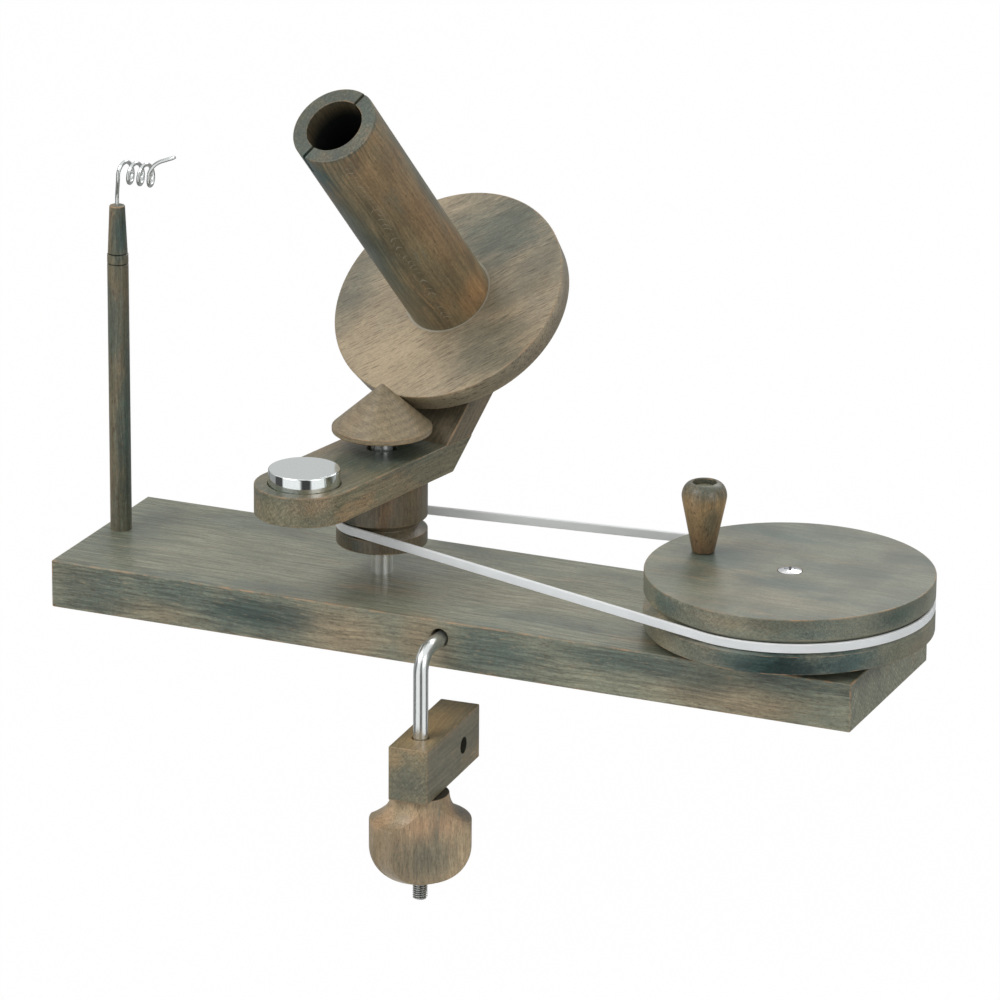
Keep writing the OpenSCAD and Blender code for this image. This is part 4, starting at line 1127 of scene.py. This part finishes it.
def make_grip():
    foot = GRIP_LOW.z
    height = GRIP_HIGH.z - foot
    deep_r, deep = GRIP_RECESS
    belly = GRIP_BELLY - (foot - WHEEL_HIGH.z)
    flat = GRIP_R - GRIP_SHOULDER
    shoulder = [
        (flat + GRIP_SHOULDER * cos(a), belly + (height - belly) * sin(a))
        for a in (radians(7.5 * i) for i in range(13))]
    outline = [(GRIP_AXLE_R, 0), (GRIP_FOOT_R, 0, 0.7), (GRIP_R - 0.45, belly - 3, 8)]
    outline += shoulder + [(deep_r, height, 0.6), (deep_r, height - deep), (GRIP_AXLE_R, height - deep)]
    bm = turned(outline, loop=True, sides=96)
    # The recess's walls get painted shade
    shaded(bm, "deep", lambda point: (
        0.75 if radius_of(point) < deep_r + 0.1 and point.z < height - 1 else 0))
    wooden(
        "grip", bm, "grip", "crank_grip", at(GRIP, foot), turn=(0, 90, 0),
        ground=(172, 143, 102), tan=(200, 155, 108), flakes=0.6, tan_from=0.5, contrast=0.7,
        blue_from=0.62, hatch=0.05,
        blues=[((0, 0, height), (40, 40, 9), 0.8), ((9, -8, 18), (6, 6, 12), 0.5)])


def make_grip_axle():
    low, high = box_of("grip_axle")
    head, head_r = high.z - 2.6, GRIP_RECESS[0] - 0.2
    bm = turned([
        (0, low.z), (GRIP_AXLE_R, low.z, 0.5), (GRIP_AXLE_R, head), (head_r, head),
        (head_r, high.z, 0.9), (0, high.z - 0.4)], sides=64)
    wood = stained_beech("wood_pin", turn=(0, 90, 0))
    piece("grip_pin", bm, "wheel", "grip_axle", wood, at(GRIP))


def groove_radius(radius, groove):
    """Radius at which a belt's inner face lies in a groove that is as wide as the belt there."""
    low, mouth, deep = groove
    return radius - (mouth - BELT[0] - 2 * BELT_ROLL) / mouth * deep


def make_belt():
    """A flat band with rounded edges, round both wheels, sloping down to the larger."""
    height, thick = BELT
    big = groove_radius(WHEEL_R, GROOVE_WHEEL) + thick / 2
    small = groove_radius(PULLEY_R, GROOVE_PULLEY) + thick / 2
    big_z = WHEEL_LOW.z + GROOVE_WHEEL[0] + GROOVE_WHEEL[1] / 2
    small_z = PULLEY_LOW.z + GROOVE_PULLEY[0] + GROOVE_PULLEY[1] / 2
    lean = math.asin((big - small) / (WHEEL_MID.x - SHAFT.x))
    stations = [
        (-pi / 2 - lean + (pi + 2 * lean) * i / 84, big, WHEEL_MID.x, big_z) for i in range(85)]
    stations += [
        (pi / 2 + lean + (pi - 2 * lean) * i / 48, small, SHAFT.x, small_z) for i in range(49)]
    a, b = thick / 2, height / 2
    # The section's rounded edges are marked, so that the band's material paints a lighter highlight
    # along them
    section, worn_and_highlit = rounded([(a, -b, 0.55), (a, b, 0.55), (-a, b, 0.55), (-a, -b, 0.55)], True, 3)
    bm = fresh()
    rings = [[
        bm.verts.new((x + (radius + p.x) * cos(angle), (radius + p.x) * sin(angle), z + p.y))
        for p in section] for angle, radius, x, z in stations]
    skin(bm, rings, True, lambda ring, point: worn_and_highlit[point])
    band = smooth_band("belt_band", (0.86, 0.88, 0.88), (0.92, 0.93, 0.93), 0.38)
    piece("belt", bm, "root", "drive_belt", band)


def make_post():
    top = POST_TOP - BOARD_TOP
    low_ring, high_ring = (top - down for down in POST_RINGS)
    half = RING_H / 2
    bm = turned([
        (0, -POST_IN), (POST_FOOT_R, -POST_IN, 0.4), (POST_FOOT_R, 1), (POST_R, low_ring - half),
        (POST_R - RING_DEEP, low_ring), (POST_R, low_ring + half), (POST_R - 0.05, high_ring - half),
        (POST_NECK_R - RING_DEEP, high_ring), (POST_NECK_R, high_ring + half),
        (POST_TOP_R, top, 0.7), (0, top)], sides=72)
    rings = (low_ring, high_ring)
    # The two ring grooves get painted shade
    shaded(bm, "deep", lambda point: 1 if min(abs(point.z - z) for z in rings) < 0.1 else 0)
    wooden(
        "post", bm, "guide", "guide_post", at(POST, BOARD_TOP), turn=(0, 90, 0),
        ground=(118, 111, 88), tan=(150, 124, 92), flakes=0.9, blue_from=0.50, hatch=0.04,
        contrast=1.4, blues=[((4, -3, top - 16), (6, 9, 20), 0.9), ((5, 0, 60), (5, 9, 80), 0.8)],
        tans=[((-5, -4, 40), (4, 6, 46), 0.5), ((-4, -3, top - 8), (5, 6, 16), 0.5)])


def wire_path():
    """The guide wire's middle line: a leg, a lean to the near side, curls and a free end."""
    def blend(a, b, t):
        return a + (b - a) * (3 * t * t - 2 * t * t * t)

    curl_x, near, curl_z = POST.x + CURL_RUN, POST.y - CURL_R, POST_TOP + CURL_RISE
    path = [Vector((POST.x, POST.y, POST_TOP - 18)), Vector((POST.x, POST.y, POST_TOP))]
    lean = POST_TOP + 3
    for i in range(19):
        t = i / 19
        z = lean + (curl_z - lean) * t
        path.append(Vector((blend(POST.x, curl_x, t), blend(POST.y, near, t), z)))
    rings = 32
    for i in range(CURL_TURNS * rings + 1):
        a = 2 * pi * i / rings
        path.append(Vector((
            curl_x + CURL_PITCH * i / rings, POST.y - CURL_R * cos(a), curl_z + CURL_R * sin(a))))
    end_x = curl_x + CURL_PITCH * CURL_TURNS
    along, up, sweep = WIRE_ARC
    for i in range(1, 19):
        b = radians(sweep * i / 18)
        path.append(Vector((end_x + along * (1 - cos(b)), near, curl_z + up * sin(b))))
    tip = Vector((end_x + WIRE_TIP[0], near, curl_z + WIRE_TIP[1]))
    return path + line(path[-1], tip, 4)


def make_wire():
    path = wire_path()
    ends = (0, len(path) - 1)
    bm = tube_along(path, lambda i, angle: WIRE_R * (0.75 if i in ends else 1), 24)
    steel = metal("steel_wire", (0.74, 0.77, 0.76), 0.20, 0.03, (0.2, 0.2, 0.2), 0.95)
    piece("guide_wire", bm, "guide", "yarn_guide_wire", steel)


def make_rod():
    """The clamp rod: a level stretch in the board, a bend, a leg and a thread."""
    x, y = ROD_MID.x, ROD_MID.y
    z = joint_point("clamp_swing").z
    inner = box_of("clamp_rod")[1].y
    path = [Vector((x, inner - i, z)) for i in (0, 0.5, 1)]
    path += line(path[-1], Vector((x, y + ROD_BEND_R, z)), 12)
    for i in range(1, 25):
        a = pi / 2 * i / 24
        path.append(Vector((x, y + ROD_BEND_R * (1 - sin(a)), z - ROD_BEND_R * (1 - cos(a)))))
    thread_top = ROD_END + THREAD_LENGTH
    path += line(path[-1], Vector((x, y, thread_top)), 12)
    smooth = len(path)
    rows = round(THREAD_LENGTH / THREAD_PITCH * THREAD_ROWS)
    path += line(path[-1], Vector((x, y, ROD_END)), rows)

    def reach(i, angle):
        if i < 2:
            return ROD_R - 0.5 + 0.5 * i
        if i < smooth:
            return ROD_R
        row = i - smooth + 1
        bare = THREAD_R - thread_depth(path[i].z / THREAD_PITCH, -angle)
        into = min(row / THREAD_ROWS / 1.5, 1)
        out = THREAD_R - 0.8 + (rows - row) / THREAD_ROWS * 2
        return min(ROD_R + (bare - ROD_R) * into, out)

    # How far a point lies down in the thread's groove, which sets the painted shade there
    def groove(point):
        if point.z > thread_top - THREAD_PITCH:
            return 0
        return min(max((THREAD_R - hypot(point.x - x, point.y - y)) / THREAD_DEEP, 0), 1)

    bm = shaded(tube_along(path, reach, 48, across=Vector((1, 0, 0))), "deep", groove)
    steel = metal("steel_rod", (0.80, 0.83, 0.82), 0.22, 0.05, (5, 5, 0.5), 0.9)
    piece("rod", bm, "clamp_arm", "clamp_rod", steel)


def make_jaw():
    width, length, height = JAW
    bm = softened(block((-width / 2, -JAW_FRONT, -height), (width / 2, length - JAW_FRONT, 0)), 0.7)
    upright = drill(JAW_HOLE_R, -height - 5, 0)
    cross_r, cross_y = CROSS_HOLE
    cross = moved(cylinder(cross_r, -width, width), (0, cross_y, -height / 2), pi / 2, "Y")
    seat_r, seat_deep = JAW_SEAT
    bm = carved(bm, upright, cross, cylinder(seat_r, -height - 5, seat_deep - height))
    # The cross hole's walls get painted shade
    marked(bm, "deep", lambda point: abs(point.x) < width / 2 - 1 and (
        hypot(point.y - cross_y, point.z + height / 2) < cross_r + 0.1), 0.8)
    marked(bm, "sawn", lambda point: point.y < 0.05 - JAW_FRONT)
    wooden(
        "jaw", bm, "jaw", "jaw_block", at(ROD_MID, JAW_TOP, JAW_TURN),
        turn=(0, 0, -90), pith=(0, 20, 120), ground=(133, 124, 98), tan=(170, 142, 100),
        hatch=0.06, sawn=0.05, flakes=0.5, dashes=0.3, blue_from=0.60, contrast=0.9,
        leans=((0, 42, 0), (0, -48, 0), (42, 0, -90)),
        blues=[((width / 2, 10, -height / 2), (5, 60, 20), 0.3),
               ((0, -JAW_FRONT, -20), (14, 5, 9), 0.45)],
        tans=[((0, 20, 0), (12, 50, 5), 0.9), ((-8, -JAW_FRONT, -6), (6, 4, 7), 0.5)])


def knob_profile():
    """The knob's half outline from its foot up, as (radius, height)."""
    low = KNOB_LOW.z - KNOB_HIGH.z
    belly = -KNOB_COVE - KNOB_SIDE
    points = [(KNOB_BORE_R, low), (KNOB_FOOT_R * 0.8, low), (KNOB_FOOT_R, low + 0.15)]
    for i in range(1, 25):
        b = pi / 2 * i / 24
        points.append((
            KNOB_FOOT_R + (KNOB_R - KNOB_FOOT_R) * sin(b), belly - (belly - low) * cos(b)))
    points += [(KNOB_R, belly + 4), (KNOB_R, belly + 8)]
    run = KNOB_R - KNOB_LIP - KNOB_NECK_R
    cove_r = (KNOB_COVE ** 2 + run ** 2) / (2 * run)
    turn = 2 * math.atan(run / KNOB_COVE)
    for i in range(6):
        a = turn * i / 5
        points.append((
            KNOB_R - KNOB_LIP * (1 - cos(a)), -KNOB_COVE - KNOB_LIP * (1 - sin(a))))
    points += [
        (KNOB_NECK_R + cove_r * (1 - cos(turn * i / 16)), -cove_r * sin(turn * i / 16))
        for i in range(15, 0, -1)]
    points += [(KNOB_NECK_R, -0.3), (KNOB_NECK_R - 0.3, 0), (KNOB_BORE_R, 0)]
    return points


def make_knob():
    """A turned shape cut by two flats: each ring is an arc, a chord, an arc and a chord."""
    half = KNOB_FLATS / 2
    arc, chord = 40, 16
    bm = fresh()
    rings = []
    for radius, z in knob_profile():
        open_angle = math.acos(min(half / radius, 1))
        reach = radius * sin(open_angle)
        ring = [(min(half, radius), reach * (2 * i / chord - 1)) for i in range(chord)]
        for i in range(arc):
            a = open_angle + (pi - 2 * open_angle) * i / arc
            ring.append((radius * cos(a), radius * sin(a)))
        rings.append([
            bm.verts.new((x * cos(s) - y * sin(s), x * sin(s) + y * cos(s), z))
            for s in (0, pi) for x, y in ring])
    skin(bm, rings, True)
    bmesh.ops.remove_doubles(bm, verts=bm.verts, dist=1e-4)
    bevelled(bm, 0.35, 2, 24, slide=False)
    # The top face, under the jaw, gets painted shade
    marked(bm, "deep", lambda point: point.z > -0.1, 0.95)
    wooden(
        "knob", bm, "knob", "clamp_knob", at(ROD_MID, KNOB_HIGH.z, KNOB_TURN),
        turn=(0, 90, 0), pith=(0, 50, 60), ground=(174, 154, 122), tan=(204, 164, 126),
        flakes=0.9, dashes=0.35, blue_from=0.60, tan_from=0.50, contrast=0.6, blotch=0.14,
        blues=[((16, -2, -32), (6, 18, 14), 0.5)],
        tans=[((16, 0, -14), (6, 18, 9), 0.7), ((2, -25, -9), (9, 8, 9), 0.6)],
        # The dark spot on the right cove is painted shade
        darks=[((6, 23, -9), (16, 8, 9), 0.75)])


def make_axle():
    """The spindle's bolt with its head in the tube, its washers and the nut behind the plate."""
    inner = plate_level()[0]
    outer = inner + PLATE_T
    behind = -outer - WASHER_T
    head_r, head_h = AXLE_HEAD
    head, top = AXLE_HEAD_AT, AXLE_HEAD_AT + head_h
    plain = cylinder(AXLE_R, -inner, head)
    thread = threaded(AXLE_R, AXLE_PITCH, behind - NUT_H - AXLE_TAIL, -outer + 4)
    hexagon = turned([(0, head), (head_r, head, 0.3), (head_r, top, 0.6), (0, top)], sides=6)
    nut = carved(hex_nut(NUT_R, NUT_H), cylinder(AXLE_R, -NUT_H - 1, 3))
    made = {
        "axle": ("spindle_axle", joined(plain, thread, hexagon)),
        "washers": ("axle_washers", joined(
            axle_ring(AXLE_R * 2, WASHER_AT, head), axle_ring(AXLE_R * 2, behind, -outer))),
        "nut": ("axle_nut", moved(nut, (0, 0, behind))),
        "spacer": ("spindle_spacer", axle_ring(SPACER_R, -inner, -DISC_T - 0.1))}
    steel = metal("steel_axle", (0.68, 0.69, 0.70), 0.28, 0.08)
    for name, (node, bm) in made.items():
        piece(name, bm, "flyer", node, steel, spindle_place())


def axle_ring(outer, low, high):
    """A ring round the spindle's bolt."""
    inner = AXLE_R + RING_PLAY
    return turned([(inner, low), (outer, low, 0.25), (outer, high, 0.25), (inner, high)], True, 96)


def hex_nut(radius, height):
    """A hexagon whose corners are turned off at both ends."""
    hexagon = [(radius * cos(pi * i / 3), radius * sin(pi * i / 3)) for i in range(6)]
    bm = prism(hexagon, hexagon, -height, 0)
    flat = radius * cos(pi / 6)
    big = radius * 2
    rise = (big - flat) / 2
    over = [(flat, 0), (big, -rise), (big, 5), (flat, 5)]
    under = [(flat, -height - 5), (big, -height - 5), (big, -height + rise), (flat, -height)]
    return carved(bm, *(turned(outline, loop=True, sides=96) for outline in (over, under)))


def dress_nodes():
    """The small pieces that keep their CAD shape: finer edges and a metal or plastic finish."""
    steel = metal("dull_steel", (0.60, 0.61, 0.62), 0.34, 0.1)
    brass = metal("brass", (0.62, 0.46, 0.22), 0.3, 0.1)
    nylon = smooth_band("nylon", (0.72, 0.71, 0.67), (0.78, 0.77, 0.73), 0.45)
    steels = ("shaft_collar", "collar_set_screw", "counterweight_screw", "jaw_washer")
    brasses = ("pulley_bushes", "spindle_bush", "wheel_bush", "wheel_insert", "knob_insert")
    woods = ("plate_dowels", "pulley_dowels")
    finish = dict.fromkeys(steels, steel) | dict.fromkeys(brasses, brass)
    finish |= dict.fromkeys(woods, stained_beech("wood_dowel")) | {"wheel_spacer": nylon}
    for name, material in finish.items():
        obj = frame["nodes"][name]
        obj.data.materials.clear()
        obj.data.materials.append(material)
        weld = obj.modifiers.new("weld", "WELD")
        weld.merge_threshold = 0.00001
        edge = obj.modifiers.new("edge", "BEVEL")
        edge.width = 0.0002
        edge.segments = 2
        edge.limit_method = "ANGLE"
        edge.angle_limit = radians(40)


camera()
world()
floor()
for lamp_name, settings in LAMPS.items():
    lamp(lamp_name, *settings)
make_board()
make_shaft()
make_cone()
make_pulley()
make_arm()
make_plate()
make_counterweight()
make_disc()
make_tube()
make_wheel()
make_wheel_screw()
make_grip()
make_grip_axle()
make_belt()
make_post()
make_wire()
make_rod()
make_jaw()
make_knob()
make_axle()
dress_nodes()
